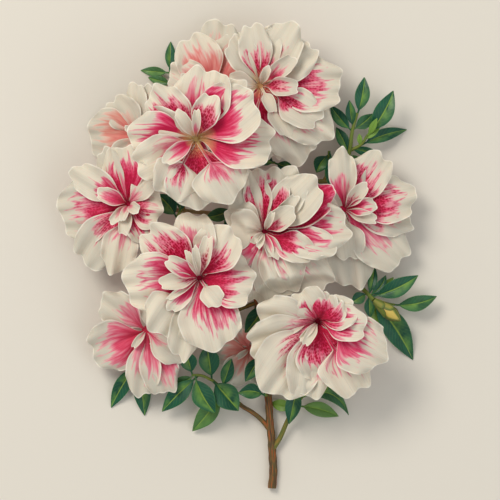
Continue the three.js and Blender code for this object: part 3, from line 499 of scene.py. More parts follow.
forks = {
    "bloom_high_left": [(1.1, 1.2), [(-9.6, 60, 10), (-15, 58, 13)]],
    "bloom_low_left": [(1.1, 1.2), [(3, -17, 9.6), (-5, -16, 12)]],
    "bloom_left": [(1.2, 1.2), [(-4, 21, 9.8), (-20, 22.4, 8.6), (-38, 24, 9.4)]],
    "bloom_right": [(1.1, 1.2), [(-1.6, 6, 9.8)]],
    "bloom_top": [(1.1, 1.2), [(-9.8, 62, 10), (-4, 72, 9.4)]],
    "bloom_far_right": [(1, 1.2), [(16, 35.4, 9), (27, 26, 7)]],
    "bloom_low_right": [(1.1, 1.2), [(6.4, -40, 8.8), (16, -38, 9.6)]],
    "bloom_behind_top": [(1.1, 1.2), [(-9.8, 63, 10), (-12, 70, 8.4)]],
    "bloom_behind_left": [(1, 1.2), [(-22, 50.4, 7.6), (-36, 55, 5.2)]],
    "bloom_behind_low": [(1, 1.2), [(-30, -37, 6.1)]],
    "bloom_small": [(1, 1), [(7.6, -49, 8)]],
    "leaves_top_left": [(1.2, 1), [(-8.6, 53, 10), (-20, 50, 8), (-32, 56, 5.6)]],
    "leaves_top_right": [(1.3, 1.3), [(-5.6, 31, 10), (14, 35, 9), (34, 39.4, 8)]],
    "leaves_below_top": [(1, 1), [(42, 41.4, 8.2)]],
    "leaves_centre_top": [(1, 1), [(-8, 49.6, 10)]],
    "leaves_centre": [(1, 1), [(-5, 27.6, 9.9)]],
    "leaves_centre_left": [(1, 1), [(-36, 23.8, 9.2)]],
    "leaves_right": [(1.3, 1.3), [(3.4, -20, 9.4), (16, -19, 8.6), (30, -14.6, 8.4)]],
    "leaves_low_right": [(1.5, 1.2), [(13.6, -108, 3.4), (17.4, -102, 4), (20, -96, 5.2)]],
    "leaves_low_left": [(1.4, 1.2), [(11.6, -98, 4), (7.2, -92.4, 4.8), (1.2, -87.6, 5.8)]],
    "leaves_far_left": [(1.2, 0.9), [(4.4, -27, 9.2), (-12, -33, 7.4), (-32, -37.5, 6)]],
    "leaves_low_centre": [(1, 0.9), [(10.2, -77, 5.9)]],
    "leaves_under_low_right": [(1, 0.9), [(8.4, -57, 7.6)]],
    "leaves_between": [(1, 0.9), [(4.6, -26, 9.4)]],
}


# A number from 0 to 1 that is always the same for the same keys
def drawn(*keys):
    total = sum(key * weight for key, weight in zip(keys, (12.9898, 78.233, 37.719, 4.581)))
    return (math.sin(total) * 43758.5453) % 1


# The point of a curve with four stops, and the curve's slope
def bezier(stops, t):
    a, b, c, d = stops
    s = 1 - t
    return s ** 3 * a + 3 * s * s * t * b + 3 * s * t * t * c + t ** 3 * d


def bezierSlope(stops, t):
    a, b, c, d = stops
    s = 1 - t
    return 3 * (s * s * (b - a) + 2 * s * t * (c - b) + t * t * (d - c))


# The lower or the higher of two heights, without a crease where they meet
def softLower(a, b, softness):
    return a - softness * np.logaddexp(0, (a - b) / softness)


def softHigher(a, b, softness):
    return -softLower(-a, -b, softness)


# The height under a bloom's rim, rising steeply away from its petals
def underRim(name, x, y):
    bloom = blooms[name]
    dx, dy = x - bloom["at"][0], y - bloom["at"][1]
    away, lowest = np.full(np.shape(x), np.inf), 0
    for turn, reach, width, rise, *_ in bloom["outer"] + bloom["middle"]:
        cos, sin = math.cos(math.radians(turn)), math.sin(math.radians(turn))
        on = np.clip(dx * cos + dy * sin, 0, reach - width / 2)
        away = np.minimum(away, np.hypot(dx - on * cos, dy - on * sin) - width / 2)
        lowest = min(lowest, rise)
    beyond = np.maximum(0, away - settling["roofReach"])
    own = bloom["at"][2] + bloom["lean"][0] * dx + bloom["lean"][1] * dy - settling["skirt"] + lowest
    pressed = np.minimum(own, roofOver(bloom, x, y) - settling["pressed"])
    return pressed + settling["roofSteepness"] * beyond * beyond


# The lowest rim over a point, of the blooms that lie over this one
def roofOver(bloom, x, y):
    roof = np.full(np.shape(x), 1e6)
    for name in bloom["above"]:
        roof = np.minimum(roof, underRim(name, x, y))
    return roof


# How far out a petal's middle line has come, seen from above
def alongStops(reach):
    return petalSheet["root"], 0.1 * reach, 0.5 * reach, reach


# The middle surface of a petal at u along it and v across it, in the form that its solid has, with
# the folds, the frilled edge and the drooping tip that the solid leaves out
def petalSurface(bloom, petal, form, order, u, v):
    turn, reach, width, rise = petal[:4]
    phase = 2.4 * order + math.radians(turn)
    layer = settling["layerStep"] * (order % 3)
    arch = form["arch"] * min(1, reach / petalSheet["fullReach"])
    liftStops = (-bloom["depth"], -0.1 * bloom["depth"], rise + arch, rise)
    edge = np.abs(v)
    size = min(1, width / petalSheet["fullWidth"])
    broad, fine = petalSheet["lobes"]
    notch = petalSheet["notch"] * drawn(turn, reach) * np.exp(-(v / 0.2) ** 2) * u ** 9
    outline = 1 - form["shoulder"] * u ** 3 * edge ** 2.4 + broad * u ** 4 * np.sin(5.5 * v + phase)
    outline = outline + fine * u ** 6 * np.sin(10 * v + 2.3 * phase) - notch
    centre = bezier(alongStops(reach), u) * outline
    lift = bezier(liftStops, u)
    slopeAlong, slopeLift = bezierSlope(alongStops(reach), u), bezierSlope(liftStops, u)
    run = np.hypot(slopeAlong, slopeLift)
    widest = petalSheet["widest"]
    claw = petal[8] if len(petal) > 8 else 0
    growing = np.sin(np.clip((u - claw) / (widest - claw), 0, 1) * math.pi / 2) ** (3.4 - 4.4 * claw)
    spread = np.where(u < widest, growing, 1 - petalSheet["tipNarrowing"] * (u - widest) ** 2)
    spread = spread * (1 + petalSheet["sway"] * u * np.sin(9 * u + 2 * phase + 1.2 * v))
    half = petalSheet["rootHalf"] + (width / 2 - petalSheet["rootHalf"]) * spread
    roll = math.radians(form["roll"])
    across = half * np.sin(roll * v) / roll
    wave = np.sin(1.5 * math.pi * v + phase) * (0.35 + 0.65 * edge)
    edgeWave = edge ** 3 * np.sin(7 * u + 1.7 * phase)
    frill = edge ** 4 * np.sin(0.62 * reach * u + 3 * phase + 2 * v) * u ** 1.5
    frill = frill + u ** 7 * np.sin(0.34 * width * v + 1.3 * phase)
    fold = np.sin(2.3 * math.pi * v + 1.9 * phase) * u * (1.25 - u) * 2
    rib = -petalSheet["ribDepth"] * np.exp(-(v / 0.07) ** 2) * 4 * u * (1 - u)
    off = (
        half * (1 - np.cos(roll * v)) / roll
        + half * v * math.tan(math.radians(form["tilt"]))
        + form["ruffle"] * u * u * (wave + 0.6 * edgeWave)
        + size * (form["frill"] * frill + form["fold"] * fold + rib)
        - form["droop"] * size * u ** 6
    )
    along = centre - slopeLift / run * off
    cos, sin = math.cos(math.radians(turn)), math.sin(math.radians(turn))
    dx, dy = along * cos - across * sin, along * sin + across * cos
    z = bloom["at"][2] + lift + slopeAlong / run * off + bloom["lean"][0] * dx + bloom["lean"][1] * dy
    x, y = bloom["at"][0] + dx, bloom["at"][1] + dy
    roof = roofOver(bloom, x, y) - form["layer"] - layer
    z = softLower(z, roof, settling["roofSoft"])
    z = softHigher(z, settling["floor"] + layer, settling["floorSoft"])
    return np.stack([x, y, z], axis=-1)


# A heap of closed sheets and tubes that becomes one mesh. Each point has its place in parts of its
# sheet (fan), its place in millimetres (size), its distance to the margin, its traits and its marks.
def newHeap():
    keys = ("points", "faces", "fan", "size", "margin", "traits", "marks")
    return {"count": 0, **{key: [] for key in keys}}


def addToHeap(heap, points, faces, traits, marks, **more):
    more["traits"] = np.tile(traits, (len(points), 1))
    more["marks"] = np.tile(marks, (len(points), 1))
    more["faces"] = np.asarray(faces) + heap["count"]
    for key, values in {"points": points, **more}.items():
        heap[key].append(values)
    heap["count"] += len(points)


# Four corners for each cell of a grid of points
def cellsOf(index, flipped=False):
    corners = [index[:-1, :-1], index[1:, :-1], index[1:, 1:], index[:-1, 1:]]
    if flipped:
        corners = [corners[0], *corners[:0:-1]]
    return np.stack(corners, axis=-1).reshape(-1, 4)


# Gives a surface a thickness that thins out towards its edges, and closes it round the rim. Progress
# turns u into the part of the way along the sheet, and sizes are width, length and a seed.
def addBlade(heap, surface, progress, rows, columns, thickness, sizes, traits, marks=(0, 0, 0, 0)):
    u = np.linspace(0, 1, rows + 1)[:, None] + np.zeros(columns + 1)
    v = np.linspace(-1, 1, columns + 1)[None, :] + np.zeros((rows + 1, 1))
    points = surface(u, v)
    normals = np.cross(np.gradient(points, axis=0), np.gradient(points, axis=1))
    normals /= np.linalg.norm(normals, axis=-1, keepdims=True) + 1e-12
    # the edges keep two fifths of the thickness
    thin = thickness / 2 * (1 - 0.6 * np.maximum(np.abs(v) ** 6, u ** 12))[..., None]
    both = np.concatenate([(points + side * normals * thin).reshape(-1, 3) for side in (1, -1)])
    index = np.arange((rows + 1) * (columns + 1)).reshape(rows + 1, columns + 1)
    faces = [cellsOf(index), cellsOf(index + index.size, flipped=True)]
    ring = np.concatenate([index[0, :-1], index[:-1, -1], index[-1, :0:-1], index[:0:-1, 0]])
    after = np.roll(ring, -1)
    faces.append(np.stack([ring, after, after + index.size, ring + index.size], axis=-1))
    width, length, seed = sizes
    along = progress(u).ravel()
    across = v.ravel()
    fan = np.stack([(across + 1) / 2, along], axis=-1)
    farApart = 97 * seed  # so no two sheets show the same part of a pattern
    size = np.stack([across * width / 2, along * length, np.full(v.size, farApart)], axis=-1)
    margin = np.minimum((1 - np.abs(across)) * width / 2, (1 - along) * length)
    addToHeap(heap, both, np.concatenate(faces), traits, marks, fan=np.tile(fan, (2, 1)),
              size=np.tile(size, (2, 1)), margin=np.tile(margin, 2))


# A smooth curve through the points, even along its length: its centres, two ways square to it, and
# how far along it each centre is
def smoothPath(path, steps):
    finePerKnot = 24
    offPath = (0.3, 0.2, 1.0)  # no path runs this way, so it gives the first side
    knots = np.array(path, dtype=float)
    ends = np.vstack([2 * knots[0] - knots[1], knots, 2 * knots[-1] - knots[-2]])
    fine = []
    for k in range(len(knots) - 1):
        p = ends[k:k + 4]
        gaps = np.maximum(np.linalg.norm(np.diff(p, axis=0), axis=1) ** 0.5, 1e-4)
        early, late = [
            ((b - a) / before - (c - a) / (before + after) + (c - b) / after) * gaps[1]
            for a, b, c, before, after in ((*p[:3], *gaps[:2]), (*p[1:], *gaps[1:]))
        ]
        for t in np.linspace(0, 1, finePerKnot, endpoint=False):
            a, b = 2 * t ** 3 - 3 * t * t + 1, t ** 3 - 2 * t * t + t
            c, d = -2 * t ** 3 + 3 * t * t, t ** 3 - t * t
            fine.append(a * p[1] + b * early + c * p[2] + d * late)
    fine = np.array(fine + [knots[-1]])
    length = np.concatenate([[0], np.cumsum(np.linalg.norm(np.diff(fine, axis=0), axis=1))])
    even = np.linspace(0, length[-1], steps + 1)
    centres = np.stack([np.interp(even, length, fine[:, k]) for k in range(3)], axis=-1)
    tangents = np.gradient(centres, axis=0)
    tangents /= np.linalg.norm(tangents, axis=1, keepdims=True)
    side = np.cross(tangents[0], offPath)
    sides = []
    for tangent in tangents:
        side = side - tangent * np.dot(side, tangent)
        side = side / np.linalg.norm(side)
        sides.append(side)
    sides = np.array(sides)
    return centres, sides, np.cross(tangents, sides), even


# A closed round stalk along a path. swell(along, turn) widens it here and there.
def addStalk(heap, path, radii, around, steps, traits, swell=None, marks=(0, 0, 0, 0)):
    centres, sides, others, even = smoothPath(path, steps)
    radius = np.interp(np.linspace(0, 1, steps + 1), np.linspace(0, 1, len(radii)), radii)[:, None]
    turn = np.linspace(0, 2 * math.pi, around, endpoint=False)[None, :]
    wide = radius + (swell(even[:, None], turn) if swell else 0)
    ring = sides[:, None] * np.cos(turn)[..., None] + others[:, None] * np.sin(turn)[..., None]
    points = (centres[:, None] + ring * wide[..., None]).reshape(-1, 3)
    index = np.arange(points.shape[0]).reshape(steps + 1, around)
    beside = np.roll(index, -1, axis=1)
    quads = np.stack([index[:-1], beside[:-1], beside[1:], index[1:]], axis=-1).reshape(-1, 4)
    first, last = points.shape[0], points.shape[0] + 1
    points = np.vstack([points, centres[0], centres[-1]])
    caps = [[first, b, a, a] for a, b in zip(index[0], beside[0])]
    caps += [[last, a, b, b] for a, b in zip(index[-1], beside[-1])]
    turns, alongs = np.tile(turn.ravel() / (2 * math.pi), steps + 1), np.repeat(even, around)
    fan = np.vstack([np.stack([turns, np.repeat(even / even[-1], around)], axis=-1), [[0.5, 0], [0.5, 1]]])
    size = np.column_stack([
        np.append((np.cos(turn) * radius).ravel(), [0, 0]), np.append(alongs, [0, even[-1]]),
        np.append((np.sin(turn) * radius).ravel(), [0, 0]),
    ])
    noMargin = np.full(len(points), 9.0)  # too far from a margin to be painted as one
    addToHeap(heap, points, np.concatenate([quads, caps]), traits, marks,
              fan=fan, size=size, margin=noMargin)


sharpAngle = math.radians(50)  # sharper edges stay sharp


# Turns a heap into a mesh piece that rides on the branch and stands for its CAD node
def makePiece(name, heap, material, nodes):
    points = np.concatenate(heap["points"]) + middleShift
    faces = np.concatenate(heap["faces"])
    mesh = bpy.data.meshes.new(name)
    mesh.from_pydata((points * mm).tolist(), [], [list(dict.fromkeys(face)) for face in faces.tolist()])
    corners = np.empty(len(mesh.loops), dtype=np.int32)
    mesh.loops.foreach_get("vertex_index", corners)
    uvs = mesh.uv_layers.new(name="fan")
    uvs.data.foreach_set("uv", np.concatenate(heap["fan"])[corners].astype(np.float32).ravel())
    for key, kind, channel in (("size", "FLOAT_VECTOR", "vector"), ("margin", "FLOAT", "value"),
                               ("traits", "FLOAT_COLOR", "color"), ("marks", "FLOAT_COLOR", "color")):
        layer = mesh.attributes.new(key, kind, "POINT")
        layer.data.foreach_set(channel, np.concatenate(heap[key]).astype(np.float32).ravel())
    mesh.shade_smooth()
    mesh.set_sharp_from_angle(angle=sharpAngle)
    mesh.materials.append(material)
    piece = bpy.data.objects.new(name, mesh)
    bpy.context.scene.collection.objects.link(piece)
    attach(piece, "root")
    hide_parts(*nodes)


# A pattern with its real spacing, in millimetres across, along and between the two sides of a sheet
def addPattern(add, kind, size, spacing, settings):
    scale = tuple(1 / gap for gap in spacing)
    scaled = add("VectorMath MULTIPLY", {1: scale}, {0: size.outputs["Vector"]})
    return add(kind, settings, {"Vector": scaled})


# Gives a painted surface its relief and its shader. Relief depths are in millimetres.
def finishMaterial(add, made, painted, height):
    relief = {"Strength": made["relief"], "Distance": made["reliefDepth"] * mm}
    bump = add("Bump", relief, {"Height": height})
    shader = add("BsdfPrincipled", made["shader"], {"Base Color": painted, "Normal": bump})
    add("OutputMaterial", {}, {"Surface": shader})


# Azalea petal: thin living tissue, matt and soft, with a little light through it. A crimson flush
# runs out from the throat in ragged rays, through pink into cream, with dots where a petal has them.
# The cream is greyed with painted shade along the folds and on lower petals, and the margin is a
# lighter line, a painted highlight. Patterns are in millimetres across and along the petal.
petalFinish = {
    # the shade grey here is painted shade, mixed into the cream along the folds and on lower petals
    "cream": "#E4DAC6", "paintedShade": "#C9C4B5", "marginHighlight": "#F1EADB", "vein": "#BDB7A8", "glow": "#E6CC8E",
    "dot": "#A9062F", "finger": (3.4, 16, 1), "hair": (0.9, 9, 1), "veinLine": (0.55, 60, 1),
    "foldShadeBand": (6.5, 70, 1), "dots": (1.15, 1.7, 1), "rimWidth": 0.9, "relief": 0.3, "reliefDepth": 0.2,
    "flush": [(0, "#E4DAC6"), (0.05, "#E4B0AE"), (0.2, "#DF8094"), (0.4, "#D9446C"), (0.64, "#C91E4E"),
              (1, "#B00B3C")],
    "salmon": [(0, "#DDD3C0"), (0.15, "#E0BFB0"), (0.4, "#DF9C8D"), (0.7, "#DA8078"), (1, "#D0665C")],
    "shader": {
        "Roughness": 0.6, "IOR": 1.42, "Specular IOR Level": 0.25, "Sheen Weight": 0.08,
        "Subsurface Weight": 0.1, "Subsurface Radius": (0.9, 0.45, 0.35), "Subsurface Scale": 0.0012,
    },
}


def makePetalMaterial():
    made = petalFinish
    attributes = ("size", "traits", "marks", "margin")
    material, add, size, traits, marks, margin = newMaterial("azaleaPetal", *attributes)
    sideways, fromRoot = add("SeparateXYZ", {}, {0: add("UVMap", {"uv_map": "fan"})}).outputs[:2]
    flushReach, strength, dots = add("SeparateColor", {}, {0: traits.outputs["Color"]}).outputs[:3]
    skew, salmonShare, glow = add("SeparateColor", {}, {0: marks.outputs["Color"]}).outputs[:3]
    noises = {}
    for name, detail in (("finger", 0.5), ("hair", 2.0), ("veinLine", 2.0), ("foldShadeBand", 1.0)):
        settings = {"Scale": 1.0, "Detail": detail, "Roughness": 0.6}
        noises[name] = addPattern(add, "TexNoise", size, made[name], settings)
    # the fingers of the flush come to points where the noise crosses its middle
    off = add("Math SUBTRACT", {1: 0.5}, {0: noises["finger"]})
    off = add("Math ABSOLUTE", {}, {0: off})
    finger = add("MapRange", {"From Min": 0.17, "From Max": 0.0, "To Min": -0.13, "To Max": 0.09},
                 {"Value": off})
    # how deep inside the flush a point lies, in parts of the petal's length
    across = add("Math MULTIPLY_ADD", {1: 2.0, 2: -1.0}, {0: sideways})
    across = add("Math SUBTRACT", {}, {0: across, 1: skew})
    across = add("Math POWER", {1: 2.0}, {0: across})
    reach = add("Math MULTIPLY_ADD", {1: -0.26}, {0: across, 2: flushReach})
    reach = add("Math ADD", {}, {0: reach, 1: finger})
    reach = add("Math MULTIPLY_ADD", {1: 0.5}, {0: noises["hair"], 2: reach})
    reach = add("Math SUBTRACT", {1: 0.27}, {0: reach})
    depth = add("Math SUBTRACT", {}, {0: reach, 1: fromRoot})
    inside = add("MapRange", {"From Min": -0.01, "From Max": 0.5}, {"Value": depth})
    paler = add("Math MULTIPLY_ADD", {1: -0.25, 2: 1.0}, {0: dots})
    paler = add("Math MULTIPLY", {}, {0: paler, 1: strength})
    inside = add("Math MULTIPLY", {}, {0: inside, 1: paler})
    ramps = {}
    for name in ("flush", "salmon"):
        ramps[name] = add("ValToRGB", {}, {0: inside})
        setStops(ramps[name], made[name])
    coloured = add("Mix", {"data_type": "RGBA"}, {0: salmonShare, 6: ramps["flush"], 7: ramps["salmon"]})
    # cream, with painted shade greying it in bands along the folds, on lower petals and on blooms
    # that lie under others, with faint veins
    foldShadeMask = add("MapRange", {"From Min": 0.35, "From Max": 0.68}, {"Value": noises["foldShadeBand"]})
    paintedShadeAmount = add("Math MULTIPLY_ADD", {"use_clamp": True, 1: 0.55}, {0: foldShadeMask, 2: marks.outputs["Alpha"]})
    ground = {"data_type": "RGBA", 6: linearOf(made["cream"]), 7: linearOf(made["paintedShade"])}
    cream = add("Mix", ground, {0: paintedShadeAmount})
    line = add("MapRange", {"From Min": 0.5, "From Max": 0.75, "To Max": 0.35},
               {"Value": noises["veinLine"]})
    cream = add("Mix", {"data_type": "RGBA", 7: linearOf(made["vein"])}, {0: line, 6: cream.outputs[2]})
    mask = add("MapRange", {"From Min": 0.0, "From Max": 0.12}, {"Value": inside})
    painted = add("Mix", {"data_type": "RGBA"}, {0: mask, 6: cream.outputs[2], 7: coloured.outputs[2]})
    # the pale yellow of the throat
    low = add("MapRange", {"From Min": 0.3, "From Max": 0.06}, {"Value": fromRoot})
    low = add("Math MULTIPLY", {}, {0: low, 1: glow})
    # dots in the flush and a little beyond it
    settings = {"voronoi_dimensions": "2D", "Scale": 1.0, "Randomness": 0.75}
    cell = addPattern(add, "TexVoronoi", size, made["dots"], settings)
    spot = add("MapRange", {"From Min": 0.46, "From Max": 0.34}, {"Value": cell})
    zone = add("MapRange", {"From Min": 0.06, "From Max": 0.24}, {"Value": depth})
    spot = add("Math MULTIPLY", {}, {0: spot, 1: zone})
    spot = add("Math MULTIPLY", {}, {0: spot, 1: dots})
    # the lighter line round the margin, a painted highlight
    marginHighlight = add("MapRange", {"From Min": made["rimWidth"], "From Max": 0.35, "To Max": 0.8},
              {"Value": margin.outputs["Fac"]})
    for amount, name in ((low, "glow"), (spot, "dot"), (marginHighlight, "marginHighlight")):
        coat = {"data_type": "RGBA", 7: linearOf(made[name])}
        painted = add("Mix", coat, {0: amount, 6: painted.outputs[2]})
    grain = add("TexNoise", {"Scale": 2.2, "Detail": 2.0}, {"Vector": size.outputs["Vector"]})
    height = add("Math MULTIPLY_ADD", {1: 0.4}, {0: grain, 2: noises["veinLine"]})
    finishMaterial(add, made, painted.outputs[2], height)
    return material


# Azalea leaf: leathery, dark blue-green above with a yellow-green rib, and a painted highlight on one half
leafFinish = {
    "dark": "#0B4834", "mid": "#12593D", "veinAndHighlight": "#6B9640", "rib": "#88A54C", "pale": "#7BA242",
    "edge": "#447A3A", "veinSpacing": 2.6, "relief": 0.4, "reliefDepth": 0.25,
    "shader": {"Roughness": 0.42, "IOR": 1.45, "Specular IOR Level": 0.35, "Coat Weight": 0.08},
}


def makeLeafMaterial():
    made = leafFinish
    material, add, size, traits = newMaterial("azaleaLeaf", "size", "traits")
    sideways = add("SeparateXYZ", {}, {0: add("UVMap", {"uv_map": "fan"})}).outputs["X"]
    paleness, highlightSide = add("SeparateColor", {}, {0: traits.outputs["Color"]}).outputs[1:3]
    millimetres = add("SeparateXYZ", {}, {0: size.outputs["Vector"]})
    across = add("Math MULTIPLY_ADD", {1: 2.0, 2: -1.0}, {0: sideways})
    fromRib = add("Math ABSOLUTE", {}, {0: across})
    side = add("Math MULTIPLY_ADD", {1: 2.0, 2: -1.0}, {0: highlightSide})
    litSide = add("Math MULTIPLY", {}, {0: across, 1: side})
    # side veins that sweep forward from the rib
    mmAcross = add("Math ABSOLUTE", {}, {0: millimetres.outputs["X"]})
    sweep = add("Math MULTIPLY_ADD", {1: -1.3}, {0: mmAcross, 2: millimetres.outputs["Y"]})
    warp = add("TexNoise", {"Scale": 0.5, "Detail": 2.0}, {"Vector": size.outputs["Vector"]})
    sweep = add("Math MULTIPLY_ADD", {1: 1.6}, {0: warp, 2: sweep})
    beat = add("Math MULTIPLY", {1: 2 * math.pi / made["veinSpacing"]}, {0: sweep})
    beat = add("Math SINE", {}, {0: beat})
    vein = add("MapRange", {"From Min": 0.55, "From Max": 1.0}, {"Value": beat})
    veinShare = add("Math MULTIPLY", {1: 0.13}, {0: vein})
    # a painted highlight on one half, strongest beside the rib
    lit = add("MapRange", {"From Min": 0.0, "From Max": 0.12}, {"Value": litSide})
    fade = add("MapRange", {"From Min": 0.95, "From Max": 0.15}, {"Value": litSide})
    lit = add("Math MULTIPLY", {}, {0: lit, 1: fade})
    patch = add("TexNoise", {"Scale": 0.16, "Detail": 2.0}, {"Vector": size.outputs["Vector"]})
    patch = add("MapRange", {"From Min": 0.35, "From Max": 0.65}, {"Value": patch})
    lit = add("Math MULTIPLY", {}, {0: lit, 1: patch})
    ground = {"data_type": "RGBA", 6: linearOf(made["dark"]), 7: linearOf(made["mid"])}
    painted = add("Mix", ground, {0: patch})
    edge = add("MapRange", {"From Min": 0.9, "From Max": 1.0, "To Max": 0.7}, {"Value": fromRib})
    rib = add("MapRange", {"From Min": 0.1, "From Max": 0.035}, {"Value": fromRib})
    coats = ((veinShare, "veinAndHighlight"), (lit, "veinAndHighlight"), (edge, "edge"), (rib, "rib"), (paleness, "pale"))
    for amount, name in coats:
        coat = {"data_type": "RGBA", 7: linearOf(made[name])}
        painted = add("Mix", coat, {0: amount, 6: painted.outputs[2]})
    height = add("Math MULTIPLY_ADD", {1: -0.6}, {0: vein, 2: warp})
    finishMaterial(add, made, painted.outputs[2], height)
    return material


# Young bark: dull and slightly rough, brown with olive and orange-red streaks along the grain, and
# green where it is youngest. The traits are seed, greenness and how pink a flower stalk is.
barkFinish = {
    "brown": "#5C402F", "dark": "#35281F", "orange": "#A2522A", "olive": "#5E5B34", "green": "#6F8A3C",
    "stalk": "#B98A76", "streak": (0.5, 7, 0.5), "relief": 0.7, "reliefDepth": 0.3,
    "shader": {"Roughness": 0.75, "IOR": 1.45, "Specular IOR Level": 0.3},
}


def makeBarkMaterial():
    made = barkFinish
    material, add, size, traits = newMaterial("azaleaBark", "size", "traits")
    greenness, pinkness = add("SeparateColor", {}, {0: traits.outputs["Color"]}).outputs[1:3]
    settings = {"Scale": 0.8, "Detail": 3.0, "Roughness": 0.65}
    streak = addPattern(add, "TexNoise", size, made["streak"], settings)
    bark = add("ValToRGB", {}, {0: streak})
    stops = ((0.3, "dark"), (0.42, "brown"), (0.52, "olive"), (0.6, "orange"), (0.75, "brown"))
    setStops(bark, [(place, made[name]) for place, name in stops])
    young = add("MapRange", {"From Min": 0.3, "From Max": 0.7, "To Min": 0.75, "To Max": 1.15},
                {"Value": streak})
    shading = {"data_type": "RGBA", "blend_type": "MULTIPLY", 0: 1.0, 6: linearOf(made["green"])}
    young = add("Mix", shading, {7: young})
    greened = add("Mix", {"data_type": "RGBA"}, {0: greenness, 6: bark, 7: young.outputs[2]})
    coat = {"data_type": "RGBA", 7: linearOf(made["stalk"])}
    painted = add("Mix", coat, {0: pinkness, 6: greened.outputs[2]})
    finishMaterial(add, made, painted.outputs[2], streak)
    return material


# Bud scales: dull green, pale yellow in the middle where they are thinnest, brown and dry at the rim
budFinish = {
    "green": "#5B7331", "yellow": "#CDB65C", "brown": "#5A4426", "rimWidth": 0.55,
    "streak": (0.45, 5, 0.45), "relief": 0.3, "reliefDepth": 0.2,
    "shader": {"Roughness": 0.55, "IOR": 1.45, "Specular IOR Level": 0.4},
}


def makeBudMaterial():
    made = budFinish
    material, add, size, traits, margin = newMaterial("azaleaBudScale", "size", "traits", "margin")
    paleness = add("SeparateColor", {}, {0: traits.outputs["Color"]}).outputs["Red"]
    streak = addPattern(add, "TexNoise", size, made["streak"], {"Scale": 0.8, "Detail": 2.0})
    # yellow spreads from the middle of a pale scale and breaks up into the green
    inward = add("MapRange", {"From Min": 0.2, "From Max": 2.6, "To Min": -0.35, "To Max": 0.75},
                 {"Value": margin.outputs["Fac"]})
    ragged = add("Math ADD", {}, {0: inward, 1: streak})
    reach = add("MapRange", {"From Min": 0.4, "From Max": 1.05}, {"Value": ragged})
    amount = add("Math MULTIPLY", {}, {0: reach, 1: paleness})
    ground = {"data_type": "RGBA", 6: linearOf(made["green"]), 7: linearOf(made["yellow"])}
    flesh = add("Mix", ground, {0: amount})
    dry = add("MapRange", {"From Min": made["rimWidth"], "From Max": 0.0, "To Max": 0.8},
              {"Value": margin.outputs["Fac"]})
    coat = {"data_type": "RGBA", 7: linearOf(made["brown"])}
    painted = add("Mix", coat, {0: dry, 6: flesh.outputs[2]})
    finishMaterial(add, made, painted.outputs[2], streak)
    return material


petalMaterial = makePetalMaterial()
leafMaterial = makeLeafMaterial()
barkMaterial = makeBarkMaterial()
budMaterial = makeBudMaterial()
print("materials made")

# The tube under a bloom, from just above its throat down to its stalk
bloomTube = {"lip": 1.2, "neckShare": 0.6, "radii": (2.3, 2.6, 2.1, 1.5), "around": 18, "steps": 20,
             "traits": (1.2, 0.8, 0, 0)}


def throatOf(bloom):
    x, y, z = bloom["at"]
    return (x, y, z - bloom["depth"])


def makeBloom(name):
    bloom = blooms[name]
    heap = newHeap()
    for kind in ("outer", "middle", "curl"):
        form = petalForms[kind]
        for order, petal in enumerate(bloom[kind]):
            turn, reach, width, rise, flush, strength, dots, skew = petal[:8]
            # painted shade: the cream greys on blooms that lie under others and on petals that hang low
            greyShade = bloom["greyShade"] + petalSheet["hungShade"] * min(max(-rise, 0), petalSheet["hungLimit"])
            marks = (skew, bloom["salmon"], bloom["glow"], greyShade)
            addBlade(heap, lambda u, v: petalSurface(bloom, petal, form, order, u, v),
                     lambda u: bezier(alongStops(reach), u) / reach, form["rows"], form["columns"],
                     petalSheet["thickness"], (width, reach, drawn(turn, reach, width)),
                     (flush, strength, dots, 0), marks)
    throat = np.array(throatOf(bloom))
    foot = np.array(bloom["foot"], dtype=float)
    neck = throat + (foot - throat) * bloomTube["neckShare"]
    path = [throat + (0, 0, bloomTube["lip"]), throat, neck, foot]
    addStalk(heap, path, bloomTube["radii"], bloomTube["around"], bloomTube["steps"], bloomTube["traits"],
             marks=(0, bloom["salmon"], bloom["glow"], 0))
    makePiece(name + "_petals", heap, petalMaterial, [name])


# A leaf's sheet, and the stalk that its blade opens from, as a share of its length
leafSheet = {
    "thickness": 0.45, "stalkShare": 0.14, "stalkHalf": 0.45, "tipHalf": 0.3, "arch": 0.07,
    "fold": 0.25, "wave": 0.3, "groove": 0.35, "rows": 28, "columns": 14,
}
twigTube = {"around": 12, "steps": 24, "greenness": 0.8}


# The middle surface of a leaf: folded along its rib, arched, and pointed at both ends
def leafSurface(leaf, u, v):
    start, tip = (np.array(end, dtype=float) for end in leaf[:2])
    width, sweep = leaf[2:4]
    way = tip - start
    length = math.hypot(way[0], way[1])
    side = np.array([-way[1], way[0], 0]) / length
    stalk = leafSheet["stalkShare"]
    opened = np.maximum(0, (u - stalk) / (1 - stalk))
    blade = (width / 2 - leafSheet["tipHalf"]) * np.sin(math.pi * opened ** 0.88) ** 0.95 * (u > stalk)
    half = leafSheet["stalkHalf"] - 0.33 * u ** 4 + blade
    points = start + way * u[..., None] + side * (v * half + sweep * 4 * u * (1 - u))[..., None]
    edge = np.abs(v)
    phase = 6.3 * drawn(*leaf[0])
    waves = leafSheet["wave"] * edge ** 2 * np.sin(9 * u + phase + 1.5 * v)
    waves = waves - leafSheet["groove"] * np.exp(-(v / 0.1) ** 2) * 4 * u * (1 - u)
    z = points[..., 2] + leafSheet["arch"] * length * 4 * u * (1 - u)
    z = z + leafSheet["fold"] * half * edge + waves * width / 9
    points[..., 2] = softHigher(z, settling["floor"], settling["floorSoft"])
    return points


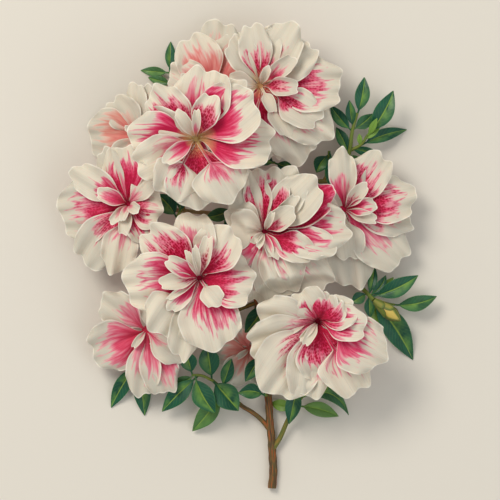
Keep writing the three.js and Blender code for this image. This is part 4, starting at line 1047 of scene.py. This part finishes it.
def makeSpray(name):
    heap = newHeap()
    for leaf in sprays[name]["leaves"]:
        length = math.dist(leaf[0][:2], leaf[1][:2])
        # the third trait is the side of the leaf that takes the painted highlight
        traits = (drawn(*leaf[0]), leaf[4], (leaf[5] + 1) / 2, 0)
        addBlade(heap, lambda u, v: leafSurface(leaf, u, v), lambda u: u, leafSheet["rows"],
                 leafSheet["columns"], leafSheet["thickness"], (leaf[2], length, traits[0]), traits)
    makePiece(name + "_blades", heap, leafMaterial, [name])
    heap = newHeap()
    for radii, path in sprays[name]["twigs"]:
        traits = (drawn(*path[0]), twigTube["greenness"], 0, 0)
        addStalk(heap, path, radii, twigTube["around"], twigTube["steps"], traits)
    makePiece(name + "_twigs", heap, barkMaterial, [name])


# Where a bloom or a shoot starts, and the way that its tube or its twig sets off
def footOf(name):
    if name in blooms:
        path = [blooms[name]["foot"], throatOf(blooms[name])]
    else:
        path = sprays[name]["twigs"][0][1]
    foot = np.array(path[0], dtype=float)
    way = np.array(path[1]) - foot
    return foot, way / np.linalg.norm(way)


def makeStem():
    def swell(along, turn):
        return sum(high * np.sin(waves * turn + along * pace) for high, waves, pace in stem["swellings"])

    heap = newHeap()
    traits = (stem["seed"], 0, 0, 0)
    addStalk(heap, stem["path"], stem["radii"], stem["around"], stem["steps"], traits, swell)
    for name, (radii, path) in forks.items():
        foot, way = footOf(name)
        whole = [*path, *(foot - way * distance for distance in stem["forkEnd"])]
        isStalk = name in blooms
        greenness = stem["greenForks"].get(name, stem["stalkGreen" if isStalk else "forkGreen"])
        traits = (drawn(*path[0]), greenness, stem["stalkPink"] if isStalk else 0, 0)
        addStalk(heap, whole, radii, stem["forkAround"], stem["forkSteps"], traits)
    makePiece("stem_bark", heap, barkMaterial, ["woody_stem"])


# The bud: a closed body, widest near its tip, under scales given as [turn round the bud from its
# level side, start and end along it, half its angle, how far it stands off, how pale]
bud = {
    "base": (69.5, -26, 16.3), "tip": (84, -37, 20), "length": 18.6,
    "radii": (0.9, 1.6, 2.2, 2.8, 3.35, 3.75, 3.8, 3.1, 1.7, 0.3), "seed": 0.2,
    "thickness": 0.34, "scaleWidth": 6.5, "around": 28, "steps": 40, "rows": 22, "columns": 16,
    "scales": [
        [84, 0.14, 1, 66, 0.14, 1], [214, 0.1, 0.99, 62, 0.1, 0.5], [325, 0.1, 0.98, 60, 0.12, 0.6],
        [128, 0.05, 0.66, 50, 0.32, 0.45], [38, 0.04, 0.6, 52, 0.42, 0.1], [262, 0.04, 0.6, 55, 0.36, 0.3],
        [96, 0, 0.4, 48, 0.56, 0.3], [182, 0, 0.36, 50, 0.5, 0.5], [330, 0, 0.38, 50, 0.5, 0.2],
    ],
}


def makeBud():
    heap = newHeap()
    base, tip = np.array(bud["base"], dtype=float), np.array(bud["tip"], dtype=float)
    way = (tip - base) / np.linalg.norm(tip - base)
    level = np.cross(way, (0, 0, 1))
    level /= np.linalg.norm(level)
    upward = np.cross(level, way)
    end = base + way * bud["length"]
    stops = np.linspace(0, 1, len(bud["radii"]))
    body = [base, (base + end) / 2, end]
    addStalk(heap, body, bud["radii"], bud["around"], bud["steps"], (bud["seed"], 0, 0, 0))
    for order, (turn, start, stop, spread, off, pale) in enumerate(bud["scales"]):
        def scaleSurface(u, v):
            along = start + (stop - start) * u
            around = np.radians(turn + spread * v * np.sqrt(np.clip(1 - u ** 3.2, 0.0004, 1)))
            radius = np.interp(along, stops, bud["radii"]) + off + 0.35 * off * u * u
            radius = radius + 0.12 * np.cos(6 * v) * (1 - u)
            ring = level * np.cos(around)[..., None] + upward * np.sin(around)[..., None]
            return base + way * (along * bud["length"])[..., None] + ring * radius[..., None]
        sizes = (bud["scaleWidth"], (stop - start) * bud["length"], drawn(turn, order))
        addBlade(heap, scaleSurface, lambda u: u, bud["rows"], bud["columns"], bud["thickness"], sizes,
                 (pale, 0, 0, 0))
    makePiece("bud_scales", heap, budMaterial, ["bud"])


# A painted table top: matt and plain, just under what lies on it
def makeTableTop():
    half, level = tableTop["size"] / 2, -tableTop["gap"]
    corners = [(x * half, y * half, level) for x, y in ((-1, -1), (1, -1), (1, 1), (-1, 1))]
    mesh = bpy.data.meshes.new("tableTop")
    mesh.from_pydata(corners, [], [(0, 1, 2, 3)])
    material, add = newMaterial("paintedTable")
    shader = add("BsdfPrincipled", {
        "Base Color": linearOf(tableTop["colour"]), "Roughness": 0.9, "Specular IOR Level": 0.1,
    })
    add("OutputMaterial", {}, {"Surface": shader})
    mesh.materials.append(material)
    table = bpy.data.objects.new("tableTop", mesh)
    bpy.context.scene.collection.objects.link(table)


for bloomName in blooms:
    makeBloom(bloomName)
print("blooms made:", len(blooms))
for sprayName in sprays:
    makeSpray(sprayName)
print("leafy shoots made:", len(sprays))
makeStem()
makeBud()
print("stem and bud made")
makeTableTop()
